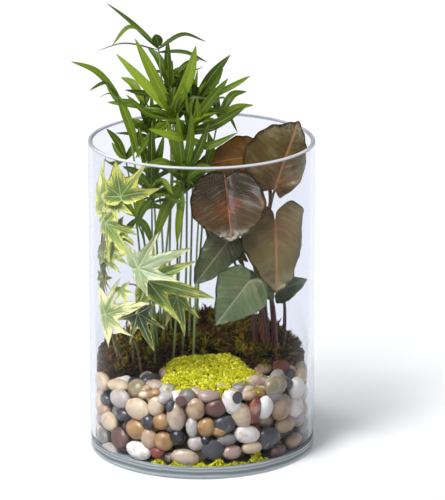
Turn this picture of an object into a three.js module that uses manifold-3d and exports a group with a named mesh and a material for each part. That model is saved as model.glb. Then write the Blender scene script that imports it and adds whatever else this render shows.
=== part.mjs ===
// A glass cylinder planted with a parlour palm, a variegated ivy and a bronze arrowhead plant,
// over a bed of river pebbles, dark soil and moss. Millimetres, +Z up, -Y is the front.
// The origin is the centre of the underside of the glass.
import * as THREE from "three";
import { mergeVertices } from "three/addons/utils/BufferGeometryUtils.js";
import Module from "manifold-3d";

const wasm = await Module();
wasm.setup();

// Driving dimensions of the glass.
const glassDiameter = 200;
const glassHeight = 283;
const glassWall = 4;
const glassBase = 9; // thickness of the floor of the glass
const footRounding = 4; // outside edge of the foot
const cornerRounding = 2.5; // inside edge of the floor
const glassSides = 44;

// Driving dimensions of the filling.
const clearance = 0.3; // gap between two pieces that rest on each other
const bedTop = 64; // top of the gravel between the stones
const soilTop = 82; // level of the soil under the moss
const crescentTop = 69; // top of the gravel in front of the soil, at its middle
const crescentRise = 4; // how much higher it stands at the right wall, and lower at the left
const pebbleLength = 19; // longest side of a common pebble
const pebbleRows = 4; // rows of stones seen through the wall
const pebblesInRow = 26;

// Driving dimensions of the plants.
const bladeThickness = 0.8;
const palmStem = 1.1; // radii of the stems
const ivyStem = 1.1;
const ivyPetiole = 0.8;
const petioleArch = 3; // how far an ivy petiole rises between the stem and its leaf
const arrowheadPetiole = 1.3;
const stemSides = 4;
const longLeaflet = 30; // from here on a leaflet bends at one more place

const innerRadius = glassDiameter / 2 - glassWall;
const fillRadius = innerRadius - 0.5; // the furthest that the filling reaches
const plantRadius = innerRadius - 2.1; // the furthest that the middle of a leaf reaches
const floorLevel = glassBase + clearance;

// ---- Helpers ----

// Seeded random numbers from 0 to 1, the same on each run.
function randomFrom(seed) {
  let state = seed;
  return () => {
    state = (state + 0x6d2b79f5) | 0;
    let mixed = Math.imul(state ^ (state >>> 15), 1 | state);
    mixed = (mixed + Math.imul(mixed ^ (mixed >>> 7), 61 | mixed)) ^ mixed;
    return ((mixed ^ (mixed >>> 14)) >>> 0) / 4294967296;
  };
}

const vector = ([x, y, z]) => new THREE.Vector3(x, y, z);
const pathThrough = (points) => new THREE.CatmullRomCurve3(points.map(vector));

// A solid from corner positions and triangles, turned the right way out.
function solidFrom(positions, triangles) {
  const vertProperties = new Float32Array(positions);
  const made = new wasm.Manifold(
    new wasm.Mesh({ numProp: 3, vertProperties, triVerts: new Uint32Array(triangles) }),
  );
  if (made.volume() > 0) return made;
  const turned = [];
  for (let i = 0; i < triangles.length; i += 3)
    turned.push(triangles[i], triangles[i + 2], triangles[i + 1]);
  return new wasm.Manifold(
    new wasm.Mesh({ numProp: 3, vertProperties, triVerts: new Uint32Array(turned) }),
  );
}

function solidOf(geometry) {
  const bare = geometry.clone();
  bare.deleteAttribute("normal");
  bare.deleteAttribute("uv");
  const merged = mergeVertices(bare, 1e-3);
  return solidFrom(merged.attributes.position.array, merged.index.array);
}

// Joins solids into one body. A loose scrap or a sealed hollow is dropped.
function fuse(solids) {
  const joined = solids.reduce((whole, piece) => whole.add(piece));
  return joined.decompose().reduce((best, body) => (body.volume() > best.volume() ? body : best));
}

function geometryOf(solid) {
  const mesh = solid.getMesh();
  const geometry = new THREE.BufferGeometry();
  geometry.setAttribute("position", new THREE.BufferAttribute(mesh.vertProperties, 3));
  geometry.setIndex(new THREE.BufferAttribute(mesh.triVerts, 1));
  geometry.computeVertexNormals();
  return geometry;
}

const part = new THREE.Group();

function addPiece(name, solid, [colour, roughness]) {
  const material = new THREE.MeshStandardMaterial({ color: colour, roughness, metalness: 0 });
  const mesh = new THREE.Mesh(geometryOf(solid), material);
  mesh.name = name;
  part.add(mesh);
}

// Colour and roughness of each finish.
const finishes = {
  glass: [0xe9eef6, 0.03],
  pebbles: [0xb9a98c, 0.45],
  soil: [0x2b2118, 0.95],
  moss: [0x2f3514, 0.9],
  yellowMoss: [0xc9c42a, 0.9],
  palm: [0x4f7d1e, 0.45],
  ivy: [0x8fa85a, 0.4],
  arrowhead: [0x6d6a3c, 0.45],
};

// ---- The glass ----

function glassGeometry() {
  const outer = glassDiameter / 2;
  const rimRadius = glassWall / 2;
  const profile = new THREE.Path();
  profile.moveTo(0, 0);
  profile.lineTo(outer - footRounding, 0);
  profile.absarc(outer - footRounding, footRounding, footRounding, -Math.PI / 2, 0, false);
  profile.lineTo(outer, glassHeight - rimRadius);
  profile.absarc(outer - rimRadius, glassHeight - rimRadius, rimRadius, 0, Math.PI, false);
  profile.lineTo(innerRadius, glassBase + cornerRounding);
  profile.absarc(
    innerRadius - cornerRounding,
    glassBase + cornerRounding,
    cornerRounding,
    0,
    -Math.PI / 2,
    true,
  );
  profile.lineTo(0, glassBase);
  const geometry = new THREE.LatheGeometry(profile.getPoints(1), glassSides);
  return geometry.rotateX(Math.PI / 2);
}

// ---- The ground ----

// Plan of the soil: all of the glass behind a front edge that comes forward at both sides.
function onSoil(x, y) {
  const { smoothstep } = THREE.MathUtils;
  const left = 27 * smoothstep(-x, 26, 46);
  const right = 16 * smoothstep(x, 24, 44) - 24 * smoothstep(x, 60, 78);
  const frontEdge = 3 - left - right;
  return y > frontEdge && Math.hypot(x, y) < fillRadius - 2;
}

// Plan of the moss: the soil's middle, back and right. The left is bare soil.
function onMoss(x, y) {
  return onSoil(x, y - 5) && x > -40 - 0.5 * y && Math.hypot(x, y) < fillRadius - 4;
}

// Plan of the granular yellow moss, a spill with five bays that runs down to the front wall.
const yellowMiddle = [6, -40];
const yellowReach = 42;
const yellowBay = 4; // how far each bay cuts in, and the edge between two of them stands out
function onYellowMoss(x, y) {
  const [across, along] = [x - yellowMiddle[0], y - yellowMiddle[1]];
  const edge = yellowReach + yellowBay * Math.cos(5 * Math.atan2(along, across) + 0.7);
  return Math.hypot(across, along) < edge && Math.hypot(x, y) < fillRadius - 6;
}

// How far a ray from the middle of a patch runs before it leaves the patch.
function reachOf(onPatch, [x, y], angle) {
  const step = 0.25;
  let reach = step;
  while (onPatch(x + reach * Math.cos(angle), y + reach * Math.sin(angle))) reach += step;
  return reach - step;
}

// A patch of ground: rings of a height field round its middle, vertical sides and a flat underside.
function patchSolid({ onPatch, middle, rings, sectors, heightAt, underside }) {
  const [middleX, middleY] = middle;
  const positions = [middleX, middleY, heightAt(middleX, middleY, 0)];
  const edge = [];
  for (let ring = 1; ring <= rings; ring++) {
    for (let sector = 0; sector < sectors; sector++) {
      const angle = (2 * Math.PI * sector) / sectors;
      const radius = (reachOf(onPatch, middle, angle) * ring) / rings;
      const x = middleX + radius * Math.cos(angle);
      const y = middleY + radius * Math.sin(angle);
      positions.push(x, y, heightAt(x, y, ring / rings));
      if (ring === rings) edge.push(x, y, underside);
    }
  }
  positions.push(...edge, middleX, middleY, underside);

  const at = (ring, sector) => 1 + (ring - 1) * sectors + (sector % sectors);
  const bottomMiddle = at(rings + 2, 0);
  const triangles = [];
  for (let sector = 0; sector < sectors; sector++) {
    triangles.push(0, at(1, sector), at(1, sector + 1));
    for (let ring = 1; ring <= rings; ring++) {
      const [a, b] = [at(ring, sector), at(ring, sector + 1)];
      const [c, d] = [at(ring + 1, sector), at(ring + 1, sector + 1)];
      triangles.push(a, c, d, a, d, b);
    }
    triangles.push(bottomMiddle, at(rings + 1, sector + 1), at(rings + 1, sector));
  }
  return solidFrom(positions, triangles);
}

// The room that a patch of ground takes up above a level, a little wider than the patch.
function roomFor({ onPatch, ...plan }, level) {
  const margin = 2 * clearance;
  const nearPatch = (x, y) =>
    [[0, 1], [0, -1], [1, 0], [-1, 0]].some(([dx, dy]) => onPatch(x + dx * margin, y + dy * margin));
  const heightAt = () => level + 60;
  return patchSolid({ ...plan, onPatch: nearPatch, rings: 1, underside: level, heightAt });
}

// A low-sided stone: an icosahedron, turned at random, then stretched to three half sizes.
function stoneSolid(random, halfSizes, place, heading) {
  const turn = new THREE.Euler(random() * 6, random() * 6, random() * 6);
  const stone = new THREE.IcosahedronGeometry(1, 0);
  stone.applyMatrix4(new THREE.Matrix4().makeRotationFromEuler(turn));
  stone.scale(...halfSizes);
  stone.rotateZ(heading);
  stone.translate(...place);
  return solidOf(stone);
}

// A band of a ring, from one angle to another and between two levels.
function bandSolid([inner, outer], [from, to], [low, high]) {
  const outline = new THREE.Shape();
  outline.absarc(0, 0, outer, from, to, false);
  outline.absarc(0, 0, inner, to, from, true);
  const options = { depth: high - low, bevelEnabled: false, curveSegments: 6 };
  return solidOf(new THREE.ExtrudeGeometry(outline, options).translate(0, 0, low));
}

// Yellow crumbs have trickled down between the stones and the front wall.
const crumbArc = [-Math.PI / 2 - 0.52, -Math.PI / 2 + 0.68];
const crumbBand = [88.5, innerRadius - cornerRounding - 0.4]; // radii
const crumbTop = floorLevel + 4.5;
const crumbRadius = 2.6;

function yellowCrumbs() {
  const random = randomFrom(23);
  const crumbs = [bandSolid(crumbBand, crumbArc, [floorLevel, crumbTop])];
  const count = 9;
  const endGap = 0.03;
  const middleRadius = (crumbBand[0] + crumbBand[1]) / 2 + 0.5;
  for (let i = 0; i < count; i++) {
    const angle = THREE.MathUtils.lerp(crumbArc[0] + endGap, crumbArc[1] - endGap, i / (count - 1));
    const radius = middleRadius + (random() - 0.5) * 0.8;
    const size = crumbRadius * (0.7 + 0.3 * random());
    const level = crumbTop - 0.3 + 0.5 * random();
    const place = [radius * Math.cos(angle), radius * Math.sin(angle), level];
    crumbs.push(stoneSolid(random, [size, size, size], place, angle));
  }
  return fuse(crumbs);
}

// The wall of stones: a honeycomb wrapped round the bed, each cell raised into a rounded stone.
// Neighbouring stones share their corners, which lie deep between them.
function pebbleWall() {
  const random = randomFrom(7);
  const creaseRadius = 85;
  const edgeRadius = 88; // of the top and bottom edges
  const shoulderRadius = fillRadius - 1.9;
  const crownRadius = fillRadius - 0.3;
  const shoulderShare = 0.64; // how far out from its middle a stone turns down
  const lowestCrown = 0.8; // how much less than the others the flattest stone stands out
  const zigzag = 0.2; // how far the crease between two rows swings, in rows
  const unevenness = { along: 0.35, up: 0.16 }; // random shift of a corner, in steps and in rows
  const ringCount = 2 * pebblesInRow;
  const levelAt = (angle, share) => {
    const top = crescentTop + crescentRise * Math.cos(angle);
    return floorLevel + share * (top - floorLevel);
  };
  const corners = [];
  const positions = [];
  const addPoint = ({ angle, level, radius }) => {
    positions.push(radius * Math.cos(angle), radius * Math.sin(angle), level);
    return positions.length / 3 - 1;
  };
  for (let ring = 0; ring <= pebbleRows; ring++) {
    corners.push([]);
    for (let k = 0; k < ringCount; k++) {
      const inside = ring > 0 && ring < pebbleRows;
      const swing = (k + ring) % 2 ? zigzag : -zigzag;
      const along = inside ? unevenness.along * (random() - 0.5) : 0;
      const up = inside ? swing + unevenness.up * (random() - 0.5) : 0;
      const angle = ((k + along) * 2 * Math.PI) / ringCount;
      const level = levelAt(angle, (ring + up) / pebbleRows);
      const corner = { angle, level, radius: inside ? creaseRadius : edgeRadius };
      corners[ring].push({ ...corner, index: addPoint(corner) });
    }
  }
  const triangles = [];
  for (let row = 0; row < pebbleRows; row++) {
    for (let cell = 0; cell < pebblesInRow; cell++) {
      const k = 2 * cell + (row % 2);
      const around = [[row, -1], [row, 0], [row, 1], [row + 1, 1], [row + 1, 0], [row + 1, -1]].map(
        ([ring, step]) => corners[ring][(k + step + ringCount) % ringCount],
      );
      const unwrap = (angle) => {
        const middle = (k * 2 * Math.PI) / ringCount;
        return middle + Math.atan2(Math.sin(angle - middle), Math.cos(angle - middle));
      };
      const angle = around.reduce((sum, corner) => sum + unwrap(corner.angle), 0) / 6;
      const level = around.reduce((sum, corner) => sum + corner.level, 0) / 6;
      const crown = addPoint({ angle, level, radius: crownRadius - lowestCrown * random() });
      const shoulders = around.map((corner) =>
        addPoint({
          angle: THREE.MathUtils.lerp(angle, unwrap(corner.angle), shoulderShare),
          level: THREE.MathUtils.lerp(level, corner.level, shoulderShare),
          radius: shoulderRadius,
        }),
      );
      for (let i = 0; i < 6; i++) {
        const j = (i + 1) % 6;
        triangles.push(crown, shoulders[i], shoulders[j]);
        triangles.push(shoulders[i], around[i].index, around[j].index);
        triangles.push(shoulders[i], around[j].index, shoulders[j]);
      }
    }
  }
  const bottomMiddle = addPoint({ angle: 0, level: floorLevel, radius: 0 });
  const topMiddle = addPoint({ angle: 0, level: crescentTop, radius: 0 });
  for (let k = 0; k < ringCount; k++) {
    const next = (k + 1) % ringCount;
    triangles.push(bottomMiddle, corners[0][next].index, corners[0][k].index);
    triangles.push(topMiddle, corners[pebbleRows][k].index, corners[pebbleRows][next].index);
  }
  return solidFrom(positions, triangles);
}

// The pebble bed: the wall of stones, gravel packed to the middle, and a crescent of stones in front.
function pebbleBed() {
  const random = randomFrom(17);
  const stones = [pebbleWall()];
  const pitch = 17; // between stones of a row
  const rowPitch = 0.87 * pitch;
  const reach = 84; // the furthest that the middle of a stone lies
  const jitter = () => 2 * (random() - 0.5);
  const fromRow = -Math.ceil(reach / rowPitch);
  const fromColumn = -Math.ceil(reach / pitch);
  for (let row = fromRow; row <= 1; row++) {
    for (let column = fromColumn; column <= -fromColumn; column++) {
      const x = (column + (Math.abs(row) % 2) / 2) * pitch + jitter();
      const y = row * rowPitch + jitter();
      const halfSizes = [(pebbleLength / 2) * (0.85 + 0.2 * random()), 7.6, 5.5 + random()];
      const z = crescentTop + (crescentRise * x) / innerRadius + jitter();
      const heading = Math.PI * random();
      const bare = [[3, 0], [-3, 0], [0, 3], [0, -3]].every(
        ([dx, dy]) => !onSoil(x + dx, y + dy) && !onYellowMoss(x + dx, y + dy),
      );
      if (!bare || Math.hypot(x, y) > reach) continue;
      stones.push(stoneSolid(random, halfSizes, [x, y, z], heading));
    }
  }
  const crumbRoom = bandSolid(
    [crumbBand[0] - clearance, innerRadius + 2],
    [crumbArc[0] - 0.01, crumbArc[1] + 0.01],
    [floorLevel - 1, crumbTop + crumbRadius + 0.6],
  );
  const cuts = [crumbRoom, roomFor(soilPlan, bedTop), roomFor(yellowMossPlan, bedTop)];
  return fuse([cuts.reduce((left, cut) => left.subtract(cut), fuse(stones))]);
}

// Each patch of ground: its plan, the point that its rings surround, and how many corners it has.
const soilPlan = { onPatch: onSoil, middle: [-4, 36], sectors: 26 };
const mossPlan = { onPatch: onMoss, middle: [12, 40], sectors: 30 };
const yellowMossPlan = {
  onPatch: (x, y) => onYellowMoss(x, y) && !onSoil(x, y + 1.5),
  middle: yellowMiddle,
  sectors: 28,
};

function soilSolid() {
  const random = randomFrom(11);
  const soil = patchSolid({
    ...soilPlan,
    rings: 3,
    underside: bedTop + clearance,
    heightAt(x, y, out) {
      const lump = 2.2 * random();
      const onFrontEdge = out === 1 && Math.hypot(x, y) < fillRadius - 6;
      if (onFrontEdge) return bedTop + 9 + lump;
      const leftBank = 5 * THREE.MathUtils.smoothstep(-x, 45, 85);
      const frontSlope = 7 * THREE.MathUtils.smoothstep(-y, 2, 24);
      return soilTop + leftBank - frontSlope + lump;
    },
  });
  return soil.subtract(roomFor(mossPlan, soilTop)).subtract(roomFor(yellowMossPlan, bedTop));
}

function mossSolid() {
  const random = randomFrom(31);
  return patchSolid({
    ...mossPlan,
    rings: 5,
    underside: soilTop + clearance,
    heightAt(x, y, out) {
      const cushion = 12 * (1 - out ** 3) + 3 * THREE.MathUtils.smoothstep(y, 20, 60);
      const rightSlope = 5 * THREE.MathUtils.smoothstep(x, 50, 90);
      const tuft = 6 * random() ** 2;
      const thinnest = 1.6;
      return soilTop + clearance + Math.max(thinnest, cushion - rightSlope) + tuft;
    },
  });
}

function yellowMossSolid() {
  const random = randomFrom(41);
  return patchSolid({
    ...yellowMossPlan,
    rings: 5,
    underside: bedTop + clearance,
    heightAt(x, y, out) {
      const bank = THREE.MathUtils.mapLinear(y, -84, 0, 9, 23);
      const rim = 6 * out ** 8;
      return bedTop + clearance + bank - rim + 1.3 * random();
    },
  });
}

// ---- Leaves and stems ----

// Pulls a point of a leaf that is below the rim back inside the glass.
function keepInside(point) {
  const radius = Math.hypot(point.x, point.y);
  if (point.z > glassHeight + 4 || radius <= plantRadius) return point;
  point.x *= plantRadius / radius;
  point.y *= plantRadius / radius;
  return point;
}

// A four-sided stem along a path.
function stemSolid(points, radius, steps) {
  const path = new THREE.CatmullRomCurve3(points.map((point) => keepInside(vector(point))));
  const section = new THREE.Shape();
  for (let i = 0; i < stemSides; i++) {
    const angle = (2 * Math.PI * i) / stemSides;
    const corner = [radius * Math.cos(angle), radius * Math.sin(angle)];
    if (i) section.lineTo(...corner);
    else section.moveTo(...corner);
  }
  section.closePath();
  return solidOf(new THREE.ExtrudeGeometry(section, { steps, extrudePath: path }));
}

// A strap-shaped leaflet along a path: narrow at its foot, widest before its middle, pointed.
// show is how far its face turns from the sky, 0, to the viewer, 1.
function leafletSolid(points, width, show) {
  const path = pathThrough(points);
  const stations = path.getLength() > longLeaflet ? 4 : 3;
  const face = new THREE.Vector3(0, -show, 1 - show + 0.05).normalize();
  const positions = [];
  const triangles = [];
  for (let i = 0; i <= stations; i++) {
    const along = i / stations;
    const middle = path.getPoint(along);
    const tangent = path.getTangent(along);
    const side = tangent.clone().cross(face).normalize();
    const up = side.clone().cross(tangent).normalize();
    const swell = Math.sin(Math.PI * (0.1 + 0.86 * along ** 0.8)) ** 0.7;
    const halfWidth = Math.max(0.5, (width / 2) * swell);
    for (const [across, through] of [[1, 1], [-1, 1], [-1, -1], [1, -1]]) {
      const edge = keepInside(middle.clone().addScaledVector(side, across * halfWidth));
      edge.addScaledVector(up, (through * bladeThickness) / 2);
      positions.push(edge.x, edge.y, edge.z);
    }
    if (i === stations) break;
    for (let corner = 0; corner < 4; corner++) {
      const [a, b] = [4 * i + corner, 4 * i + ((corner + 1) % 4)];
      triangles.push(a, b, b + 4, a, b + 4, a + 4);
    }
  }
  const end = 4 * stations;
  triangles.push(0, 2, 1, 0, 3, 2, end, end + 1, end + 2, end, end + 2, end + 3);
  return solidFrom(positions, triangles);
}

// Outlines of whole leaves, each as [angle from the tip in degrees, distance from the petiole joint].
// Distances are shares of the length from the joint to the tip, and the other half is the mirror image.
const leafOutlines = {
  ivy: [
    [0, 1], [10, 0.64], [24, 0.42], [46, 0.84],
    [63, 0.42], [84, 0.34], [107, 0.6], [142, 0.28],
  ],
  ivyDrawn: [
    [0, 1], [9, 0.6], [21, 0.36], [37, 0.78],
    [54, 0.36], [72, 0.28], [95, 0.52], [140, 0.18],
  ],
  ivyFan: [
    [0, 0.85], [14, 0.54], [26, 0.46], [42, 0.95],
    [62, 0.46], [84, 0.85], [108, 0.42], [146, 0.22],
  ],
  arrowShort: [
    [0, 1], [15, 0.87], [30, 0.8], [50, 0.68],
    [74, 0.55], [98, 0.4], [138, 0.28],
  ],
  arrowhead: [
    [0, 1], [14, 0.84], [33, 0.69], [58, 0.6],
    [84, 0.54], [112, 0.52], [146, 0.5], [172, 0.28],
  ],
  arrowBroad: [
    [0, 1], [18, 0.92], [44, 0.95], [76, 1.05],
    [106, 1.12], [134, 1.2], [158, 1.2], [178, 1],
  ],
  arrowWide: [
    [0, 1], [14, 0.78], [38, 0.62], [72, 0.56], [96, 0.46], [122, 0.4], [158, 0.26],
  ],
  arrowNarrow: [
    [0, 1], [12, 0.8], [32, 0.55], [64, 0.4],
    [104, 0.38], [136, 0.43], [162, 0.26],
  ],
};
const notchDistance = 0.12; // at the petiole, as a share of the length

// A lobed leaf: rings round the petiole joint, bent by a formula, the same triangles on both faces.
// droop bends the tip back, cup lifts the edges, wide stretches it across, and skew makes the half
// on its side direction wider than the other.
function lobedLeafSolid({ outline, joint, tip, face, wide = 1, skew = 0, droop = 0.12, cup = 0.1 }) {
  const origin = keepInside(vector(joint));
  const axis = vector(tip).sub(origin);
  const length = axis.length();
  axis.normalize();
  const side = axis.clone().cross(vector(face)).normalize();
  const normal = side.clone().cross(axis).normalize();
  const half = leafOutlines[outline];
  const mirrored = half.slice(1).reverse().map(([angle, reach]) => [-angle, reach]);
  const rim = [...half, [180, notchDistance], ...mirrored];
  const rings = 2;
  const mids = [origin.clone()];
  for (let ring = 1; ring <= rings; ring++) {
    for (const [angle, reach] of rim) {
      const radians = THREE.MathUtils.degToRad(angle);
      const radius = (reach * ring) / rings;
      const along = radius * Math.cos(radians);
      const across = radius * Math.sin(radians) * wide * (1 + skew * Math.sign(angle));
      const lift = cup * across ** 2 - droop * Math.max(0, along) ** 2;
      const ripple = ring === rings ? 0.02 * Math.sin(5 * radians) : 0;
      const point = origin.clone().addScaledVector(axis, length * along);
      point.addScaledVector(side, length * across).addScaledVector(normal, length * (lift + ripple));
      mids.push(keepInside(point));
    }
  }
  const count = rim.length;
  const layer = mids.length;
  const positions = [];
  for (const through of [1, -1])
    for (const mid of mids) {
      const point = mid.clone().addScaledVector(normal, (through * bladeThickness) / 2);
      positions.push(point.x, point.y, point.z);
    }
  const at = (ring, i) => 1 + (ring - 1) * count + (i % count);
  const triangles = [];
  const onBothFaces = (a, b, c) => triangles.push(a, b, c, layer + a, layer + c, layer + b);
  for (let i = 0; i < count; i++) {
    onBothFaces(0, at(1, i), at(1, i + 1));
    onBothFaces(at(1, i), at(2, i), at(2, i + 1));
    onBothFaces(at(1, i), at(2, i + 1), at(1, i + 1));
    const [a, b] = [at(rings, i), at(rings, i + 1)];
    triangles.push(a, layer + a, layer + b, a, layer + b, b);
  }
  return solidFrom(positions, triangles);
}

// ---- The palm ----
// Each frond is a stem up from the soil and the leaflets that leave it. A leaflet is
// [share of the stem at its foot, its highest or middle point, its tip, width, show].
const fronds = [
  {
    stem: [
      [-27, 24, 73], [-29, 24, 160], [-27, 21, 250], [-29, 20, 304],
      [-35, 19, 331], [-37, 18, 352], [-38, 17, 363],
    ],
    leaflets: [
      [0.9, [-13, 13, 357], [5, 9, 350], 6, 0.3],
      [0.95, [-16, 23, 371], [4, 26, 365], 6, 0.3],
      [0.95, [-58, 21, 379], [-83, 22, 400], 6, 0.35],
      [0.99, [-62, 9, 381], [-78, 4, 366], 6.5, 0.3],
      [0.99, [-39, 8, 371], [-40, -4, 378], 10, 0.9],
      [0.93, [-70, 28, 362], [-93, 31, 355], 4, 0.1],
    ],
  },
  {
    stem: [[-35, 16, 73], [-33, 12, 160], [-26, 8, 240], [-25, 6, 290], [-26, 7, 306]],
    leaflets: [
      [0.99, [-43, 4, 341], [-58, 7, 371], 10, 1],
      [0.97, [-52, 17, 331], [-75, 27, 353], 9, 0.9],
      [0.97, [-11, 1, 339], [-5, -2, 367], 10.5, 1],
      [0.93, [-18, 14, 314], [-15, 14, 326], 7, 1],
      [0.86, [-45, -12, 287], [-58, -10, 268], 8, 0.6],
      [0.88, [-48, 3, 305], [-66, 4, 322], 7, 0.5],
    ],
  },
  {
    stem: [[-12, 18, 73], [-10, 18, 160], [-8, 18, 240], [-8, 20, 290], [-6, 22, 310]],
    leaflets: [
      [0.98, [9, 25, 334], [25, 31, 351], 9.5, 1],
      [0.99, [28, 32, 323], [43, 36, 331], 5.5, 0.7],
      [0.95, [22, 27, 298], [32, 31, 281], 5, 0.4],
      [0.93, [-8, 32, 322], [-12, 44, 336], 8, 0.8],
      [0.97, [12, 22, 328], [19, 18, 342], 5, 0.9],
    ],
  },
  {
    stem: [[-18, 8, 73], [-14, 4, 160], [-13, 0, 240], [-12, -2, 275], [-11, -2, 294]],
    leaflets: [
      [0.99, [7, -4, 318], [23, -7, 339], 9.5, 1],
      [0.93, [13, -2, 297], [41, 3, 313], 9.5, 0.9],
      [0.86, [5, -14, 280], [31, -12, 291], 7.5, 0.8],
      [0.95, [-4, -6, 304], [-4, -10, 322], 8, 1],
      [0.9, [-22, -26, 291], [-46, -32, 300], 9, 0.7],
    ],
  },
  {
    stem: [
      [-44, 20, 73], [-48, 18, 150], [-56, 14, 225],
      [-62, 14, 275], [-69, 15, 305], [-73, 15, 318],
    ],
    leaflets: [
      [0.99, [-92, 9, 341], [-114, 5, 351], 7, 0.5],
      [0.97, [-84, 4, 332], [-98, -5, 327], 6, 0.3],
      [0.97, [-82, 24, 318], [-91, 29, 312], 4, 0.2],
      [0.98, [-63, 9, 292], [-55, 5, 264], 8.5, 0.9],
      [0.94, [-66, 11, 314], [-60, 8, 317], 5, 0.6],
      [0.9, [-76, 34, 312], [-84, 50, 318], 7, 0.5],
    ],
  },
  {
    stem: [[-48, 30, 73], [-54, 30, 150], [-60, 26, 215], [-66, 22, 250], [-68, 21, 262]],
    leaflets: [
      [0.99, [-75, 21, 276], [-84, 20, 287], 7, 0.8],
      [0.95, [-78, 8, 258], [-86, -6, 266], 6, 0.5],
      [0.93, [-58, 34, 270], [-54, 44, 284], 7, 0.7],
      [0.9, [-74, 34, 262], [-80, 44, 268], 6, 0.6],
    ],
  },
  {
    stem: [[-38, 6, 73], [-44, 6, 140], [-52, 8, 190], [-60, 9, 212]],
    leaflets: [
      [0.99, [-45, 14, 218], [-30, 16, 213], 6, 0.6],
      [0.99, [-68, 12, 224], [-74, 13, 234], 6, 0.9],
      [0.98, [-72, 2, 219], [-82, -6, 220], 6, 0.6],
      [0.97, [-52, 11, 230], [-46, 12, 248], 8, 0.9],
      [0.95, [-50, 4, 202], [-44, -3, 186], 7, 0.9],
      [0.93, [-66, 0, 200], [-72, -8, 188], 6, 0.9],
    ],
  },
  {
    stem: [[-8, 6, 73], [-6, 4, 130], [-4, 2, 190], [0, 0, 240], [3, 0, 256]],
    leaflets: [
      [0.96, [-26, -8, 232], [-44, -13, 188], 12, 0.95],
      [0.7, [8, 4, 190], [10, 2, 170], 7, 0.9],
      [0.99, [8, -6, 276], [6, -13, 292], 8, 0.9],
    ],
  },
  {
    stem: [[-22, 34, 73], [-22, 38, 160], [-22, 40, 240], [-24, 44, 290], [-28, 50, 318]],
    leaflets: [
      [0.99, [-38, 62, 340], [-48, 72, 348], 8, 0.5],
      [0.97, [-14, 60, 334], [-2, 70, 338], 8, 0.5],
      [0.95, [-48, 48, 312], [-68, 46, 316], 7, 0.6],
      [0.93, [-2, 48, 306], [18, 52, 310], 7, 0.6],
      [0.99, [-30, 54, 340], [-30, 56, 360], 7, 1],
    ],
  },
  {
    stem: [[-6, 32, 73], [-2, 36, 160], [4, 40, 230], [12, 44, 276], [16, 48, 292]],
    leaflets: [
      [0.99, [28, 58, 308], [40, 66, 310], 8, 0.5],
      [0.97, [10, 64, 310], [4, 78, 318], 8, 0.5],
      [0.95, [30, 44, 300], [46, 44, 302], 7, 0.6],
      [0.9, [2, 54, 286], [-10, 64, 286], 7, 0.6],
    ],
  },
  {
    stem: [[-36, 40, 73], [-40, 46, 160], [-44, 50, 230], [-48, 56, 280], [-52, 60, 300]],
    leaflets: [
      [0.99, [-62, 70, 316], [-72, 78, 320], 8, 0.5],
      [0.97, [-46, 76, 312], [-40, 88, 316], 8, 0.5],
      [0.95, [-68, 58, 300], [-84, 58, 302], 7, 0.5],
      [0.93, [-34, 66, 296], [-20, 72, 300], 7, 0.5],
    ],
  },
  {
    stem: [[-26, 5, 73], [-21, -6, 150], [-17, -10, 220], [-16, -12, 254]],
    leaflets: [
      [0.99, [-24, -15, 280], [-31, -18, 306], 8, 1],
      [0.97, [-19, -19, 282], [-21, -24, 312], 7.5, 0.9],
      [0.98, [-10, -19, 284], [-9, -26, 314], 8, 1],
      [0.96, [-2, -16, 278], [6, -21, 302], 8, 1],
      [0.93, [-34, -18, 266], [-52, -22, 262], 8, 0.7],
      [0.93, [0, -22, 262], [12, -29, 262], 8, 0.7],
      [0.8, [-20, -16, 214], [-22, -18, 192], 7, 1],
    ],
  },
  {
    stem: [[-42, -2, 73], [-44, -4, 150], [-44, -6, 210], [-44, -7, 246]],
    leaflets: [
      [0.99, [-50, -8, 270], [-55, -10, 296], 8, 1],
      [0.98, [-44, -14, 274], [-43, -20, 304], 8, 1],
      [0.97, [-38, -10, 268], [-33, -14, 290], 7.5, 1],
      [0.95, [-58, -12, 256], [-69, -16, 262], 7, 0.8],
      [0.93, [-34, -16, 248], [-25, -20, 238], 7.5, 0.8],
      [0.85, [-52, -14, 222], [-58, -18, 206], 7, 0.9],
    ],
  },
  {
    stem: [[-30, 30, 73], [-34, 32, 150], [-38, 34, 230], [-42, 32, 270], [-45, 30, 285]],
    leaflets: [
      [0.99, [-50, 24, 300], [-54, 20, 314], 8, 0.9],
      [0.95, [-58, 36, 286], [-70, 40, 294], 7, 0.6],
      [0.95, [-34, 20, 288], [-28, 14, 298], 7, 0.8],
      [0.9, [-48, 46, 278], [-56, 58, 276], 7, 0.5],
    ],
  },
];

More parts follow.
